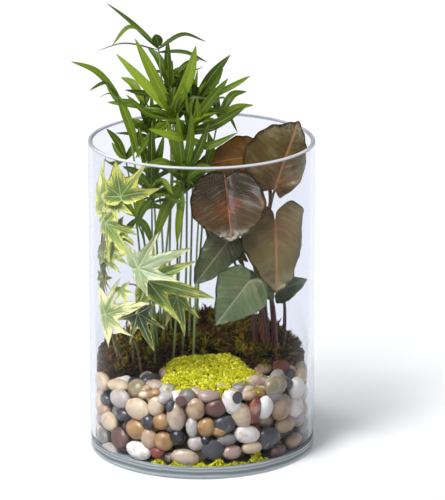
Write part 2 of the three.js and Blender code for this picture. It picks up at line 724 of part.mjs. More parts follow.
// ---- The ivy ----
// Each vine is a stem and its leaves. A leaf leaves the stem at a share of its length.
const vines = [
  {
    stem: [[-72, -8, 73], [-80, -16, 110], [-89, -6, 165], [-87, -10, 205], [-82, -24, 235]],
    leaves: [
      {
        share: 0.9, joint: [-85, -12, 229], tip: [-90, 8, 266],
        face: [-0.75, -0.65, 0.1], outline: "ivy", wide: 0.8,
      },
      {
        share: 0.98, joint: [-70, -48, 244], tip: [-76, -50, 282],
        face: [-0.2, -1, 0.25], outline: "ivyFan", wide: 1.1,
      },
    ],
  },
  {
    stem: [[-66, -14, 73], [-80, -30, 115], [-87, -26, 160], [-86, -30, 195], [-81, -40, 218]],
    leaves: [
      {
        share: 0.98, joint: [-83, -42, 218], tip: [-60, -64, 187],
        face: [-0.5, -0.85, 0.2], outline: "ivyDrawn", wide: 0.9,
      },
      {
        share: 0.75, joint: [-85, -39, 186], tip: [-72, -60, 180],
        face: [-0.4, -0.5, 0.75], outline: "ivy", wide: 0.9,
      },
      {
        share: 0.85, joint: [-72, -43, 210], tip: [-58, -53, 204],
        face: [0.1, -0.7, 0.7], outline: "ivy", wide: 0.8,
      },
      {
        share: 0.62, joint: [-86, -32, 176], tip: [-84, -38, 152],
        face: [-0.3, -1, 0], outline: "ivy", wide: 0.35,
      },
    ],
  },
  {
    stem: [[-60, -10, 73], [-62, -24, 112], [-56, -38, 150], [-58, -54, 178]],
    leaves: [
      {
        share: 0.99, joint: [-55, -70, 185], tip: [-12, -84, 206],
        face: [0.1, -1, 0.3], outline: "ivyDrawn",
      },
      {
        share: 0.9, joint: [-47, -58, 170], tip: [11, -66, 156],
        face: [0, -0.97, 0.25], outline: "ivyDrawn",
      },
    ],
  },
  {
    stem: [[-54, -14, 73], [-58, -26, 100], [-66, -42, 125], [-60, -50, 144]],
    leaves: [
      {
        share: 0.75, joint: [-84, -37, 133], tip: [-52, -77, 156],
        face: [-0.4, -0.85, 0.3], outline: "ivyDrawn", droop: 0.03,
      },
      {
        share: 0.95, joint: [-56, -54, 139], tip: [-42, -66, 108],
        face: [0, -1, 0.2], outline: "ivyDrawn",
      },
      {
        share: 0.98, joint: [-22, -48, 152], tip: [-14, -54, 116],
        face: [0.1, -1, 0.2], outline: "ivyDrawn", wide: 0.9,
      },
    ],
  },
];

// ---- The arrowhead plant ----
// Each leaf has its own petiole up from the crown in the soil.
const arrowheads = [
  {
    petiole: [[62, 16, 73], [57, 10, 120], [55, 2, 180], [61, -5, 225], [66, -7, 245]],
    tip: [86, 8, 297], face: [0.1, -1, 0.1], wide: 0.9, skew: -0.32, outline: "arrowShort",
  },
  {
    petiole: [[57, 20, 73], [53, 17, 130], [51, 13, 190], [61, 12, 222], [56, 14, 250], [48, 13, 263]],
    tip: [-6, 1, 262], face: [0, -0.72, 0.7], wide: 0.66, droop: 0.2, outline: "arrowhead",
  },
  {
    petiole: [[56, 10, 73], [52, 3, 130], [44, -12, 180], [33, -26, 210], [23, -45, 232]],
    tip: [26, -63, 208], face: [0, -0.8, 0.6], outline: "arrowBroad",
  },
  {
    petiole: [[67, 8, 73], [62, 0, 130], [60, -16, 180], [64, -38, 212]],
    tip: [66, -56, 158], face: [0.12, -1, 0.15], outline: "arrowhead",
  },
  {
    petiole: [[72, 14, 73], [74, 9, 110], [73, -1, 135], [69, -12, 147]],
    tip: [90, -23, 160], face: [0.2, -1, 0.3], wide: 1.1, outline: "arrowNarrow",
  },
  {
    petiole: [[52, 15, 73], [46, 6, 120], [34, -8, 160], [21, -30, 195]],
    tip: [-7, -38, 161], face: [-0.2, -1, 0.25], outline: "arrowNarrow",
  },
  {
    petiole: [[59, 4, 73], [56, -8, 110], [51, -34, 145], [39, -56, 166]],
    tip: [11, -66, 131], face: [-0.1, -1, 0.3], outline: "arrowWide",
  },
  {
    petiole: [[66, 2, 73], [65, -6, 115], [60, -22, 148], [48, -33, 168]],
    tip: [63, -41, 146], face: [0.2, -1, 0.3], outline: "arrowNarrow",
  },
  {
    petiole: [[50, 6, 73], [46, 1, 110], [41, -6, 150], [35, -9, 177]],
    tip: [27, -11, 194], face: [0.3, -1, 0], wide: 0.6, outline: "arrowNarrow",
  },
];

// ---- Planting ----

// A stem stands in the ground in a straight hole of its own, which leans as the stem does.
const holes = [];
const holeDepth = 45;
const holeSlack = 1;
const holeSides = 5;
function plantStem(points, radius) {
  const foot = vector(points[0]);
  const lean = vector(points[1]).sub(foot).normalize();
  const turn = new THREE.Quaternion().setFromUnitVectors(new THREE.Vector3(0, 1, 0), lean);
  const holeRadius = radius + holeSlack;
  const hole = new THREE.CylinderGeometry(holeRadius, holeRadius, holeDepth, holeSides);
  hole.translate(0, holeDepth / 2 - clearance, 0).applyQuaternion(turn);
  holes.push(solidOf(hole.translate(foot.x, foot.y, foot.z)));
  return stemSolid(points, radius, points.length);
}

arrowheads.forEach(({ petiole, ...leaf }, i) => {
  const blade = lobedLeafSolid({ ...leaf, joint: petiole.at(-1) });
  const pieces = [plantStem(petiole, arrowheadPetiole), blade];
  addPiece("arrowhead_leaf_" + (i + 1), fuse(pieces), finishes.arrowhead);
});

vines.forEach(({ stem, leaves }, i) => {
  const pieces = [plantStem(stem, ivyStem)];
  for (const leaf of leaves) {
    const foot = pathThrough(stem).getPoint(leaf.share);
    const middle = foot.clone().add(vector(leaf.joint)).divideScalar(2);
    const arch = [middle.x, middle.y, middle.z + petioleArch];
    pieces.push(lobedLeafSolid(leaf), stemSolid([foot.toArray(), arch, leaf.joint], ivyPetiole, 3));
  }
  addPiece("ivy_vine_" + (i + 1), fuse(pieces), finishes.ivy);
});

fronds.forEach(({ stem, leaflets }, i) => {
  const pieces = [plantStem(stem, palmStem)];
  for (const [share, middle, tip, width, show] of leaflets) {
    const foot = pathThrough(stem).getPoint(share).toArray();
    pieces.push(leafletSolid([foot, middle, tip], width, show));
  }
  addPiece("palm_frond_" + (i + 1), fuse(pieces), finishes.palm);
});

const planted = (ground) => fuse([holes.reduce((left, hole) => left.subtract(hole), ground)]);

addPiece("glass_cylinder", solidOf(glassGeometry()), finishes.glass);
addPiece("pebble_bed", pebbleBed(), finishes.pebbles);
addPiece("yellow_crumbs", yellowCrumbs(), finishes.yellowMoss);
addPiece("soil", planted(soilSolid()), finishes.soil);
addPiece("moss", planted(mossSolid()), finishes.moss);
addPiece("yellow_moss", planted(yellowMossSolid()), finishes.yellowMoss);

export default part;
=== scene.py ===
import math
import random
import bmesh
import bpy
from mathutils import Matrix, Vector


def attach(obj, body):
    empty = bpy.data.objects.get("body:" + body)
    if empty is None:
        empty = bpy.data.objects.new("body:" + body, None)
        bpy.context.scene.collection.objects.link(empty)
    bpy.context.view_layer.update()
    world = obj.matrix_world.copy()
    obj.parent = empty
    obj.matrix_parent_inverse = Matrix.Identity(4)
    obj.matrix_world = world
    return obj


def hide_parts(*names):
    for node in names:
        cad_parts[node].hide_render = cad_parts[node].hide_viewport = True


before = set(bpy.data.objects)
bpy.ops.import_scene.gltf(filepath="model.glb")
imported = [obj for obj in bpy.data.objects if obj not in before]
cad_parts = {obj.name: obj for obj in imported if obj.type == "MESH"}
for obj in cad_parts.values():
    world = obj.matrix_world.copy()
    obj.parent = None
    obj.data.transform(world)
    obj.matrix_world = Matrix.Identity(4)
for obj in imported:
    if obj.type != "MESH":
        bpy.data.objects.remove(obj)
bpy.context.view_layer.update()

mm = 0.001
print("frame loaded")


# Node helpers: a wire is an output socket, and a sum or product of wires adds its Math nodes.

def operator(operation, reflected=False):
    def apply(self, other):
        return self.maths(operation, *((other, self) if reflected else (self, other)))
    return apply


class Wire:
    def __init__(self, graph, socket):
        self.graph, self.socket = graph, socket

    def maths(self, operation, *values):
        return self.graph.add("ShaderNodeMath", {"operation": operation}, dict(enumerate(values)))

    __add__, __radd__ = operator("ADD"), operator("ADD", True)
    __sub__, __rsub__ = operator("SUBTRACT"), operator("SUBTRACT", True)
    __mul__, __rmul__ = operator("MULTIPLY"), operator("MULTIPLY", True)
    __truediv__, __rtruediv__ = operator("DIVIDE"), operator("DIVIDE", True)
    __pow__, least, most = operator("POWER"), operator("MINIMUM"), operator("MAXIMUM")

    def __abs__(self):
        return self.maths("ABSOLUTE", self)

    def sine(self):
        return self.maths("SINE", self)

    def between(self, low, high):  # 0 at low, 1 at high, smooth in the middle
        sockets = {"Value": self, "From Min": low, "From Max": high}
        return self.graph.add("ShaderNodeMapRange", {"interpolation_type": "SMOOTHSTEP"}, sockets)


class Graph:
    def __init__(self, tree):
        self.tree = tree

    def add(self, kind, settings=None, sockets=None, output=None):
        node = self.tree.nodes.new(kind)
        for name, value in (settings or {}).items():
            if name == "stops":
                self.setStops(node.color_ramp, value)
            else:
                setattr(node, name, value)
        for key, value in (sockets or {}).items():
            socket = self.pick(node.inputs, key)
            if isinstance(value, Wire):
                self.tree.links.new(value.socket, socket)
            else:
                socket.default_value = value
        if output is not None:
            return Wire(self, self.pick(node.outputs, output))
        return Wire(self, [socket for socket in node.outputs if socket.enabled][0])

    def pick(self, sockets, key):
        if isinstance(key, int):
            return sockets[key]
        named = [socket for socket in sockets if socket.identifier == key]
        return (named or [socket for socket in sockets if socket.name == key and socket.enabled])[0]

    def setStops(self, ramp, stops):
        while len(ramp.elements) < len(stops):
            ramp.elements.new(0.5)
        for element, (place, colour) in zip(ramp.elements, stops):
            element.position = place
            element.color = (*colour, 1)

    def mix(self, factor, first, second, blend="MIX"):
        first, second = [(*c, 1) if isinstance(c, tuple) and len(c) == 3 else c for c in (first, second)]
        sockets = {"Factor_Float": factor, "A_Color": first, "B_Color": second}
        return self.add("ShaderNodeMix", {"data_type": "RGBA", "blend_type": blend}, sockets, "Result_Color")

    def noise(self, where, scale, detail):
        sockets = {"Vector": where, "Scale": scale, "Detail": detail}
        return self.add("ShaderNodeTexNoise", {}, sockets, "Fac")

    def ramp(self, factor, *stops):
        return self.add("ShaderNodeValToRGB", {"stops": stops}, {"Fac": factor})

    def shift(self, vector, other):
        return self.add("ShaderNodeVectorMath", {"operation": "ADD"}, {0: vector, 1: other})

    def scale(self, vector, factor):
        return self.add("ShaderNodeVectorMath", {"operation": "SCALE"}, {"Vector": vector, "Scale": factor})

    def place(self, geometry, **where):  # Position or Offset
        return self.add("GeometryNodeSetPosition", {}, {"Geometry": geometry, **where})

    def smooth(self, geometry):
        return self.add("GeometryNodeSetShadeSmooth", {}, {"Geometry": geometry})

    def attribute(self, name, output="Fac"):
        return self.add("ShaderNodeAttribute", {"attribute_name": name}, {}, output)

    def combine(self, x, y, z=0.0):
        return self.add("ShaderNodeCombineXYZ", {}, {"X": x, "Y": y, "Z": z})

    def split(self, vector):
        return [self.add("ShaderNodeSeparateXYZ", {}, {"Vector": vector}, axis) for axis in "XYZ"]


def makeMaterial(name, paint, **constants):
    material = bpy.data.materials.new(name)
    material.use_nodes = True
    graph = Graph(material.node_tree)
    shader = material.node_tree.nodes["Principled BSDF"]
    for key, value in {**constants, **paint(graph)}.items():
        socket = graph.pick(shader.inputs, key.replace("_", " "))
        if isinstance(value, Wire):
            material.node_tree.links.new(value.socket, socket)
        else:
            socket.default_value = (*value, 1) if isinstance(value, tuple) and len(value) == 3 else value
    return material


def objectPlace(graph):
    return graph.add("ShaderNodeTexCoord", {}, {}, "Object")


def finish(colour, roughness, height=None, depth=0.0, strength=1.0):  # depth of the bump in mm
    sockets = {"Base Color": colour, "Roughness": roughness}
    if height is not None:
        bump = {"Height": height, "Distance": depth * mm, "Strength": strength}
        sockets["Normal"] = height.graph.add("ShaderNodeBump", {}, bump)
    return sockets


def showObject(name, data):
    shown = bpy.data.objects.new(name, data)
    bpy.context.scene.collection.objects.link(shown)
    return shown


# Geometry trees: named inputs, then Realize Instances and Set Material at the end.

def startTree(name, **inputs):
    tree = bpy.data.node_groups.new(name, "GeometryNodeTree")
    for label, kind in {"geometry": "geometry", **inputs, "material": "material"}.items():
        tree.interface.new_socket(label, in_out="INPUT", socket_type="NodeSocket" + kind.title())
    tree.interface.new_socket("geometry", in_out="OUTPUT", socket_type="NodeSocketGeometry")
    graph = Graph(tree)
    entry = tree.nodes.new("NodeGroupInput")
    return graph, {socket.name: Wire(graph, socket) for socket in entry.outputs if socket.name}


def endTree(graph, geometry, material):
    realized = graph.add("GeometryNodeRealizeInstances", {}, {"Geometry": geometry})
    painted = graph.add("GeometryNodeSetMaterial", {}, {"Geometry": realized, "Material": material})
    leave = graph.tree.nodes.new("NodeGroupOutput")
    graph.tree.links.new(painted.socket, leave.inputs[0])
    return graph.tree


def namedValue(graph, name, kind="FLOAT"):
    return graph.add("GeometryNodeInputNamedAttribute", {"data_type": kind}, {"Name": name}, "Attribute")


def runTree(name, mesh, tree, **values):  # the tree's result as a plain mesh object
    piece = showObject(name, mesh)
    modifier = piece.modifiers.new("tree", "NODES")
    modifier.node_group = tree
    for item in tree.interface.items_tree:
        if item.in_out == "INPUT" and item.name in values:
            modifier[item.identifier] = values[item.name]
    evaluated = piece.evaluated_get(bpy.context.evaluated_depsgraph_get())
    result = bpy.data.meshes.new_from_object(evaluated)
    piece.modifiers.clear()
    piece.data = result
    result.name = name
    return piece


def joinPieces(name, pieces):  # several plain meshes of one part, as one object
    with bpy.context.temp_override(active_object=pieces[0], selected_editable_objects=pieces):
        bpy.ops.object.join()
    pieces[0].name = name
    return pieces[0]


def placePiece(piece, slot, *nodes):
    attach(piece, "root")
    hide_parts(*nodes)


def meshFrom(name, points, faces=(), edges=(), attributes=None):
    mesh = bpy.data.meshes.new(name)
    mesh.from_pydata([Vector(point) * mm for point in points], list(edges), list(faces))
    for label, values in (attributes or {}).items():
        kind = "FLOAT_VECTOR" if hasattr(values[0], "__len__") else "FLOAT"
        attribute = mesh.attributes.new(label, kind, "POINT")
        if kind == "FLOAT":
            attribute.data.foreach_set("value", values)
        else:
            attribute.data.foreach_set("vector", [number for value in values for number in value])
    mesh.update()
    return mesh


def copyOfNode(node):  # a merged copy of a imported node's mesh
    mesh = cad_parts[node].data.copy()
    mesh.materials.clear()
    work = bmesh.new()
    work.from_mesh(mesh)
    bmesh.ops.remove_doubles(work, verts=work.verts, dist=0.01 * mm)
    work.to_mesh(mesh)
    work.free()
    return mesh


# Camera: the photograph's view, worked out from the rim's and the foot's ellipses.

view = {
    "position": (0, -3288, 1123),  # mm
    "pitchDown": 0.279,  # radians
    "focalLength": 3859,  # pixels
    "imageSize": (445, 500),
    "axisPixel": (201.85, 250),  # where the glass's own axis plane is seen
}
forward = Vector((0, math.cos(view["pitchDown"]), -math.sin(view["pitchDown"])))
upward = Vector((0, math.sin(view["pitchDown"]), math.cos(view["pitchDown"])))
sideways = Vector((1, 0, 0))


def photoRay(across, down):
    shiftX = across - view["axisPixel"][0]
    shiftY = view["axisPixel"][1] - down
    return (forward * view["focalLength"] + sideways * shiftX + upward * shiftY).normalized()


def makeCamera():
    lens = bpy.data.cameras.new("camera")
    lens.sensor_width = 36
    lens.lens = view["focalLength"] / max(view["imageSize"]) * lens.sensor_width
    lens.clip_end = 50
    camera = showObject("camera", lens)
    camera.location = Vector(view["position"]) * mm
    middle = photoRay(view["imageSize"][0] / 2, view["imageSize"][1] / 2)
    camera.rotation_euler = middle.to_track_quat("-Z", "Y").to_euler()
    bpy.context.scene.camera = camera


makeCamera()
print("camera made")


# Glass: a lathe of one profile, outside wall, rim, inside wall and floor.

glass = {
    "radius": 100, "height": 283, "wall": 4, "base": 9, "foot": 4, "corner": 2.5,  # mm
    "lip": 0.3,  # a ring this close to each rounding keeps the wall's shading flat
    "rings": (0.2, 0.4, 0.6, 0.8),  # shares of the height where the walls have a ring
    "sides": 160, "footSteps": 10, "rimSteps": 12, "cornerSteps": 6,
    "outerLine": 1.7,  # how far below the top the rim's painted outer dark line runs
    "shadow": (0.97, 0.975, 0.98),  # what is left of the lamps' light behind the glass
}


def arc(middle, radius, fromAngle, toAngle, steps):
    angles = [math.radians(fromAngle + (toAngle - fromAngle) * i / steps) for i in range(steps + 1)]
    return [(middle[0] + radius * math.cos(a), middle[1] + radius * math.sin(a)) for a in angles]


def lathe(name, low, high, rings, sides):  # rings of (radius, level), closed by a point at both ends
    points = [(0, 0, low), (0, 0, high)]
    for radius, level in rings:
        for i in range(sides):
            angle = 2 * math.pi * i / sides
            points.append((radius * math.cos(angle), radius * math.sin(angle), level))
    faces = []
    last = 2 + sides * (len(rings) - 1)
    for i in range(sides):
        j = (i + 1) % sides
        faces += [(0, 2 + j, 2 + i), (1, last + i, last + j)]
        for ring in range(2, last, sides):
            faces.append((ring + i, ring + j, ring + sides + j, ring + sides + i))
    return meshFrom(name, points, faces)


def makeGlass():
    base, corner, foot, height, lip = [glass[key] for key in ("base", "corner", "foot", "height", "lip")]
    outer, inner, rim = glass["radius"], glass["radius"] - glass["wall"], glass["wall"] / 2
    levels = [height * share for share in glass["rings"]] + [height - rim - lip]
    profile = [(outer - foot - lip, 0)] + arc((outer - foot, foot), foot, -90, 0, glass["footSteps"])
    profile += [(outer, level) for level in [foot + lip, base + corner] + levels]
    profile += arc((outer - rim, height - rim), rim, 0, 180, glass["rimSteps"])
    profile += [(inner, level) for level in reversed([base + corner + lip] + levels)]
    profile += arc((inner - corner, base + corner), corner, 0, -90, glass["cornerSteps"])
    profile += [(inner - corner - lip, base)]
    mesh = lathe("glassVessel", 0, base, profile, glass["sides"])
    mesh.shade_smooth()
    for name, paint, constants in (
        ("clearGlass", paintClearGlass, {"Roughness": 0.0, "IOR": 1.13, "Transmission_Weight": 1.0}),
        ("footGlass", paintFootGlass, {"IOR": 1.3, "Transmission_Weight": 0.45}),
        ("rimGlass", paintRimGlass, {"IOR": 1.2, "Transmission_Weight": 0.4}),
    ):
        mesh.materials.append(passShadows(makeMaterial(name, paint, **constants)))
    for face in mesh.polygons:
        levels = [mesh.vertices[i].co.z / mm for i in face.vertices]
        isFoot = max(levels) < base + corner + 0.1
        isRim = min(levels) > height - rim - 0.1
        face.material_index = 1 if isFoot else 2 if isRim else 0
    placePiece(showObject("glassVessel", mesh), "clear_glass", "glass_cylinder")


def passShadows(material):  # lets the lamps' light through, so that the plants inside are lit
    graph = Graph(material.node_tree)
    output = material.node_tree.nodes["Material Output"]
    shader = Wire(graph, material.node_tree.nodes["Principled BSDF"].outputs[0])
    shadow = graph.add("ShaderNodeLightPath", {}, {}, "Is Shadow Ray")
    through = graph.add("ShaderNodeBsdfTransparent", {}, {"Color": (*glass["shadow"], 1)})
    both = graph.add("ShaderNodeMixShader", {}, {0: shadow, 1: shader, 2: through})
    material.node_tree.links.new(both.socket, output.inputs["Surface"])
    return material


def paintClearGlass(graph):  # a faint lavender cast, which the thick foot of the wall deepens
    foot = 1 - graph.split(objectPlace(graph))[2].between(4 * mm, 30 * mm)
    return {"Base Color": graph.mix(foot, (0.875, 0.89, 0.935), (0.83, 0.855, 0.905))}


def paintFootGlass(graph):  # blue-grey with painted light and dark rings: a painted reflection of the streaks that thick glass shows
    x, y, z = graph.split(objectPlace(graph))
    wander = graph.noise(graph.combine(x, y, z * 0.3), 26, 3) - 0.5
    # painted reflection: light and dark rings up the foot, wavered by noise
    ring = graph.ramp(
        z / ((glass["base"] + glass["corner"]) * mm) + wander * 0.3,
        (0.0, (0.22, 0.26, 0.28)), (0.16, (0.52, 0.58, 0.60)), (0.30, (0.72, 0.77, 0.79)),
        (0.45, (0.30, 0.36, 0.39)), (0.60, (0.22, 0.28, 0.31)), (0.72, (0.66, 0.71, 0.73)),
        (0.86, (0.30, 0.36, 0.39)), (0.96, (0.80, 0.83, 0.86)), (1.0, (0.62, 0.62, 0.64)),
    )
    return finish(ring, 0.04 + wander * 0.05)


def paintRimGlass(graph):  # painted light on the glass: thin painted dark lines along its edges, and a painted highlight caught between them in front
    x, y, height = graph.split(objectPlace(graph))
    reach = (x * x + y * y) ** 0.5
    glint = graph.noise(graph.combine(x, y), 30, 2)
    # band: a painted highlight, pale at the back and sides and near white in front
    band = graph.mix((0 - y).between(10 * mm, 80 * mm), (0.66, 0.67, 0.75), (0.95, 0.96, 0.98))
    level = (glass["height"] - glass["outerLine"]) * mm
    inside = (glass["radius"] - glass["wall"]) * mm
    # painted dark lines along the outer edge below the top and along the inner edge, varied by the glint
    # noise
    outer = 1 - abs(height - level).between(0.2 * mm, 0.6 * mm)
    inner = 1 - reach.between(inside + 0.5 * mm, inside + 1.1 * mm)
    line = graph.mix(glint, (0.10, 0.10, 0.16), (0.42, 0.42, 0.52))
    return finish(graph.mix(outer.most(inner) * 0.9, band, line), 0.05 + glint * 0.1)


makeGlass()
print("glass made")


# River pebbles: the stones that the photograph shows are placed one by one, the rest by a rule.

pebbleColours = {
    "white": (0.76, 0.72, 0.66),
    "cream": (0.56, 0.44, 0.29),
    "tan": (0.40, 0.27, 0.155),
    "beige": (0.42, 0.33, 0.235),
    "ochre": (0.33, 0.185, 0.065),
    "rust": (0.20, 0.036, 0.016),
    "maroon": (0.105, 0.045, 0.032),
    "pink": (0.33, 0.225, 0.18),
    "grey": (0.20, 0.18, 0.165),
    "pale": (0.43, 0.39, 0.35),
    "slate": (0.045, 0.047, 0.052),
    "black": (0.012, 0.012, 0.014),
    "olive": (0.27, 0.225, 0.125),
}

# pixel across and down of the stone's middle, width and height in pixels, lean in degrees, colour
pebblesSeen = [
    (281, 367, 21, 13, 0, "rust"), (263, 369, 14, 10, 0, "tan"), (257, 382, 20, 14, 0, "pink"),
    (275, 386, 21, 19, 0, "olive"), (295, 388, 17, 21, 0, "white"), (231, 402, 16, 25, -20, "white"),
    (241, 415, 17, 26, -25, "cream"), (253, 410, 12, 27, 10, "rust"), (264, 407, 14, 22, 20, "white"),
    (280, 407, 19, 26, 25, "tan"), (293, 407, 12, 20, 0, "white"), (216, 408, 20, 17, 0, "maroon"),
    (209, 396, 21, 12, 0, "pink"), (221, 388, 18, 12, 0, "beige"), (241, 388, 18, 12, 0, "grey"),
    (187, 397, 16, 16, 0, "grey"), (195, 409, 17, 20, 0, "tan"), (176, 417, 17, 27, 0, "beige"),
    (156, 406, 15, 19, 20, "cream"), (161, 421, 15, 16, 0, "ochre"), (192, 427, 11, 20, 0, "pale"),
    (206, 427, 17, 18, 0, "ochre"), (224, 424, 20, 18, 0, "slate"), (246, 434, 26, 18, 15, "white"),
    (284, 424, 20, 16, 0, "tan"), (267, 438, 18, 22, 20, "slate"), (226, 439, 18, 12, 0, "grey"),
    (212, 449, 23, 20, 0, "slate"), (196, 443, 16, 14, 0, "pale"), (185, 457, 29, 16, 5, "beige"),
    (164, 441, 17, 18, 0, "ochre"), (177, 436, 13, 14, 0, "black"), (231, 452, 18, 14, 0, "pink"),
    (251, 447, 18, 12, 0, "cream"), (158, 452, 13, 12, 0, "rust"), (168, 457, 10, 10, 0, "black"),
    (103, 381, 20, 17, 0, "cream"), (119, 385, 20, 11, 0, "cream"), (138, 389, 15, 20, 0, "olive"),
    (155, 387, 17, 15, 0, "beige"), (167, 392, 14, 16, 0, "pale"), (121, 398, 21, 18, 0, "pale"),
    (103, 402, 18, 22, 10, "cream"), (138, 409, 24, 21, 0, "cream"), (111, 421, 20, 18, 0, "cream"),
    (137, 429, 18, 19, 0, "ochre"), (149, 438, 14, 20, -10, "tan"), (139, 450, 25, 17, 5, "white"),
    (121, 438, 15, 22, 15, "maroon"), (105, 436, 16, 18, 0, "grey"), (111, 449, 16, 12, 0, "pale"),
    (124, 414, 12, 12, 0, "slate"), (148, 421, 12, 14, 0, "slate"), (219, 430, 14, 12, 0, "ochre"),
    (273, 395, 12, 14, 0, "grey"), (300, 425, 12, 18, 0, "grey"), (292, 440, 16, 14, 0, "tan"),
    (276, 450, 14, 12, 0, "maroon"), (205, 439, 10, 10, 0, "black"), (180, 401, 10, 10, 0, "maroon"),
    (171, 406, 9, 12, 0, "slate"), (240, 400, 10, 12, 0, "slate"),
]

bed = {
    "wallRadius": 95.4,  # how far a stone may reach
    "floor": 9.5, "lowest": 9.3,  # where the stones start, and what none goes below
    "topMiddle": 70, "topRise": 4,  # the top is higher at the right wall, lower at the left
    "pixel": 1 / 1.1246,  # mm for each pixel of the photograph
    # listed stones: how far inside the others' reach, and half sizes in mm against the wall and on the top
    "seen": {
        "inward": 6, "depth": 5.5, "topDepth": 8, "longest": 13, "swell": 1.09,
        "leastFacing": 0.45,  # the photograph narrows a stone at the sides, and this limits the correction
        "wallEnds": 3, "topRests": 2, "topInward": 9,  # mm below the top, above it, and in from the wall
    },
    "seed": 7,
    "tries": {"wall": 5000, "top": 900, "deep": 2600},
    "apart": {"wall": 0.66, "top": 0.68, "deep": 0.62},  # least distance, in sums of the half lengths
    "size": 9.6, "shrink": 4.0,  # half a stone's size in mm, and how much less the last ones have
    "spread": (0.9, 1.1), "wallInward": 0.8, "deepSpread": 3, "aboveFloor": 0.75, "belowTop": 1,
    "long": (0.95, 1.25), "thick": 0.68, "tall": (0.7, 0.95),  # each as a share of the size
    "frontAngle": 1.15,  # the listed stones fill the wall to here, in radians from the front
    "top": {"across": (-88, 88), "back": (-88, 10), "uneven": 2, "tilt": 0.3},
    "deepInward": 15,  # how far the deeper layer's middles lie inside the reach
    "lean": 0.7,  # radians to both sides
    "lump": 1.1, "lumpSize": 55.0,  # unevenness of a stone in mm, and the scale of its noise
    "commonColours": ["cream", "cream", "tan", "tan", "beige", "beige", "ochre", "pale", "grey", "white",
                      "pink", "maroon", "slate", "black", "olive", "rust"],
}


def bedTop(x):
    return bed["topMiddle"] + bed["topRise"] * x / glass["radius"]


def wallHit(across, down):  # where the ray of a pixel meets the stones behind the front wall
    start, ray, sizes = Vector(view["position"]), photoRay(across, down), bed["seen"]
    radius = bed["wallRadius"] - sizes["inward"]
    a = ray.x ** 2 + ray.y ** 2
    b = start.x * ray.x + start.y * ray.y
    c = start.x ** 2 + start.y ** 2 - radius ** 2
    place = start + ray * ((-b - math.sqrt(b * b - a * c)) / a)
    if place.z > bedTop(place.x) - sizes["wallEnds"]:  # the ray passes over them and meets the top
        place = start + ray * ((bedTop(place.x) + sizes["topRests"] - start.z) / ray.z)
    return place


def seenStones():  # the stones of the list: (middle, half sizes, turn, colour)
    stones, sizes, pixel = [], bed["seen"], bed["pixel"]
    for across, down, width, height, lean, colour in pebblesSeen:
        place = wallHit(across, down)
        heading = math.atan2(place.x, -place.y)
        half = Vector((width * pixel / 2, sizes["depth"], height * pixel / 2)) * sizes["swell"]
        half.x = min(half.x / max(sizes["leastFacing"], math.cos(heading)), sizes["longest"])
        if math.hypot(place.x, place.y) < bed["wallRadius"] - sizes["topInward"]:  # it lies on the top
            half.y = sizes["topDepth"]
        stones.append((place, half, (0, math.radians(lean), heading), pebbleColours[colour]))
    return stones


def ruleStones(seen):  # the rest of the wall, the top in front of the soil, and a deeper layer behind
    dice = random.Random(bed["seed"])
    stones, deep, top = list(seen), [], bed["top"]

    def crowds(place, half, others, share):
        return any((place - other).length < share * (half.x + otherHalf.x) for other, otherHalf, *_ in others)

    for kind, tries in bed["tries"].items():
        others = deep if kind == "deep" else stones
        for attempt in range(tries):
            size = (bed["size"] - bed["shrink"] * attempt / tries) * dice.uniform(*bed["spread"])
            long, tall = dice.uniform(*bed["long"]), dice.uniform(*bed["tall"])
            half = Vector((size * long, size * bed["thick"], size * tall))
            angle = dice.uniform(-math.pi, math.pi)
            colour = pebbleColours[dice.choice(bed["commonColours"])]
            if kind == "top":
                x, y = dice.uniform(*top["across"]), dice.uniform(*top["back"])
                place = Vector((x, y, bedTop(x) + dice.uniform(-top["uneven"], top["uneven"])))
                turn = (*[dice.uniform(-top["tilt"], top["tilt"]) for _ in range(2)], dice.uniform(0, 3))
                half = Vector((half.x, half.z, half.y))
                fits = math.hypot(x, y) <= bed["wallRadius"] - half.x
            else:
                if kind == "wall":
                    inward = half.y + bed["wallInward"]
                else:
                    inward = bed["deepInward"] + dice.uniform(0, bed["deepSpread"])
                radius = bed["wallRadius"] - inward
                x, y = radius * math.sin(angle), -radius * math.cos(angle)
                lowest = bed["floor"] + size * bed["aboveFloor"]
                place = Vector((x, y, dice.uniform(lowest, bedTop(x) - bed["belowTop"])))
                turn = (0, dice.uniform(-bed["lean"], bed["lean"]), angle)
                fits = kind == "deep" or abs(angle) >= bed["frontAngle"]
            if fits and not crowds(place, half, others, bed["apart"][kind]):
                others.append((place, half, turn, colour))
    return stones[len(seen):], deep


def pebbleTree():
    graph, inputs = startTree("pebbles", lump="float", lumpSize="float", detail="int")
    sizes = {"Radius": 1.0, "Subdivisions": inputs["detail"]}
    ball = graph.add("GeometryNodeMeshIcoSphere", {}, sizes, "Mesh")
    turn = graph.add("FunctionNodeEulerToRotation", {}, {"Euler": namedValue(graph, "turn", "FLOAT_VECTOR")})
    placed = graph.add("GeometryNodeInstanceOnPoints", {}, {
        "Points": inputs["geometry"], "Instance": ball, "Rotation": turn,
        "Scale": namedValue(graph, "halfSize", "FLOAT_VECTOR"),
    })
    stones = graph.add("GeometryNodeRealizeInstances", {}, {"Geometry": placed})
    position = graph.add("GeometryNodeInputPosition")
    seed = namedValue(graph, "seed")
    spot = graph.shift(position, graph.combine(seed * 3.1, seed * 1.7))
    uneven = graph.noise(spot, inputs["lumpSize"], 1.0)
    lump = (uneven - 0.5) * inputs["lump"] * 2
    lumpy = graph.place(stones, Offset=graph.scale(graph.add("GeometryNodeInputNormal"), lump))
    x, y, z = graph.split(position)
    inward = (bed["wallRadius"] * mm / (x * x + y * y) ** 0.5).least(1.0)  # no stone reaches the glass
    kept = graph.place(lumpy, Position=graph.combine(x * inward, y * inward, z.most(bed["lowest"] * mm)))
    return endTree(graph, graph.smooth(kept), inputs["material"])


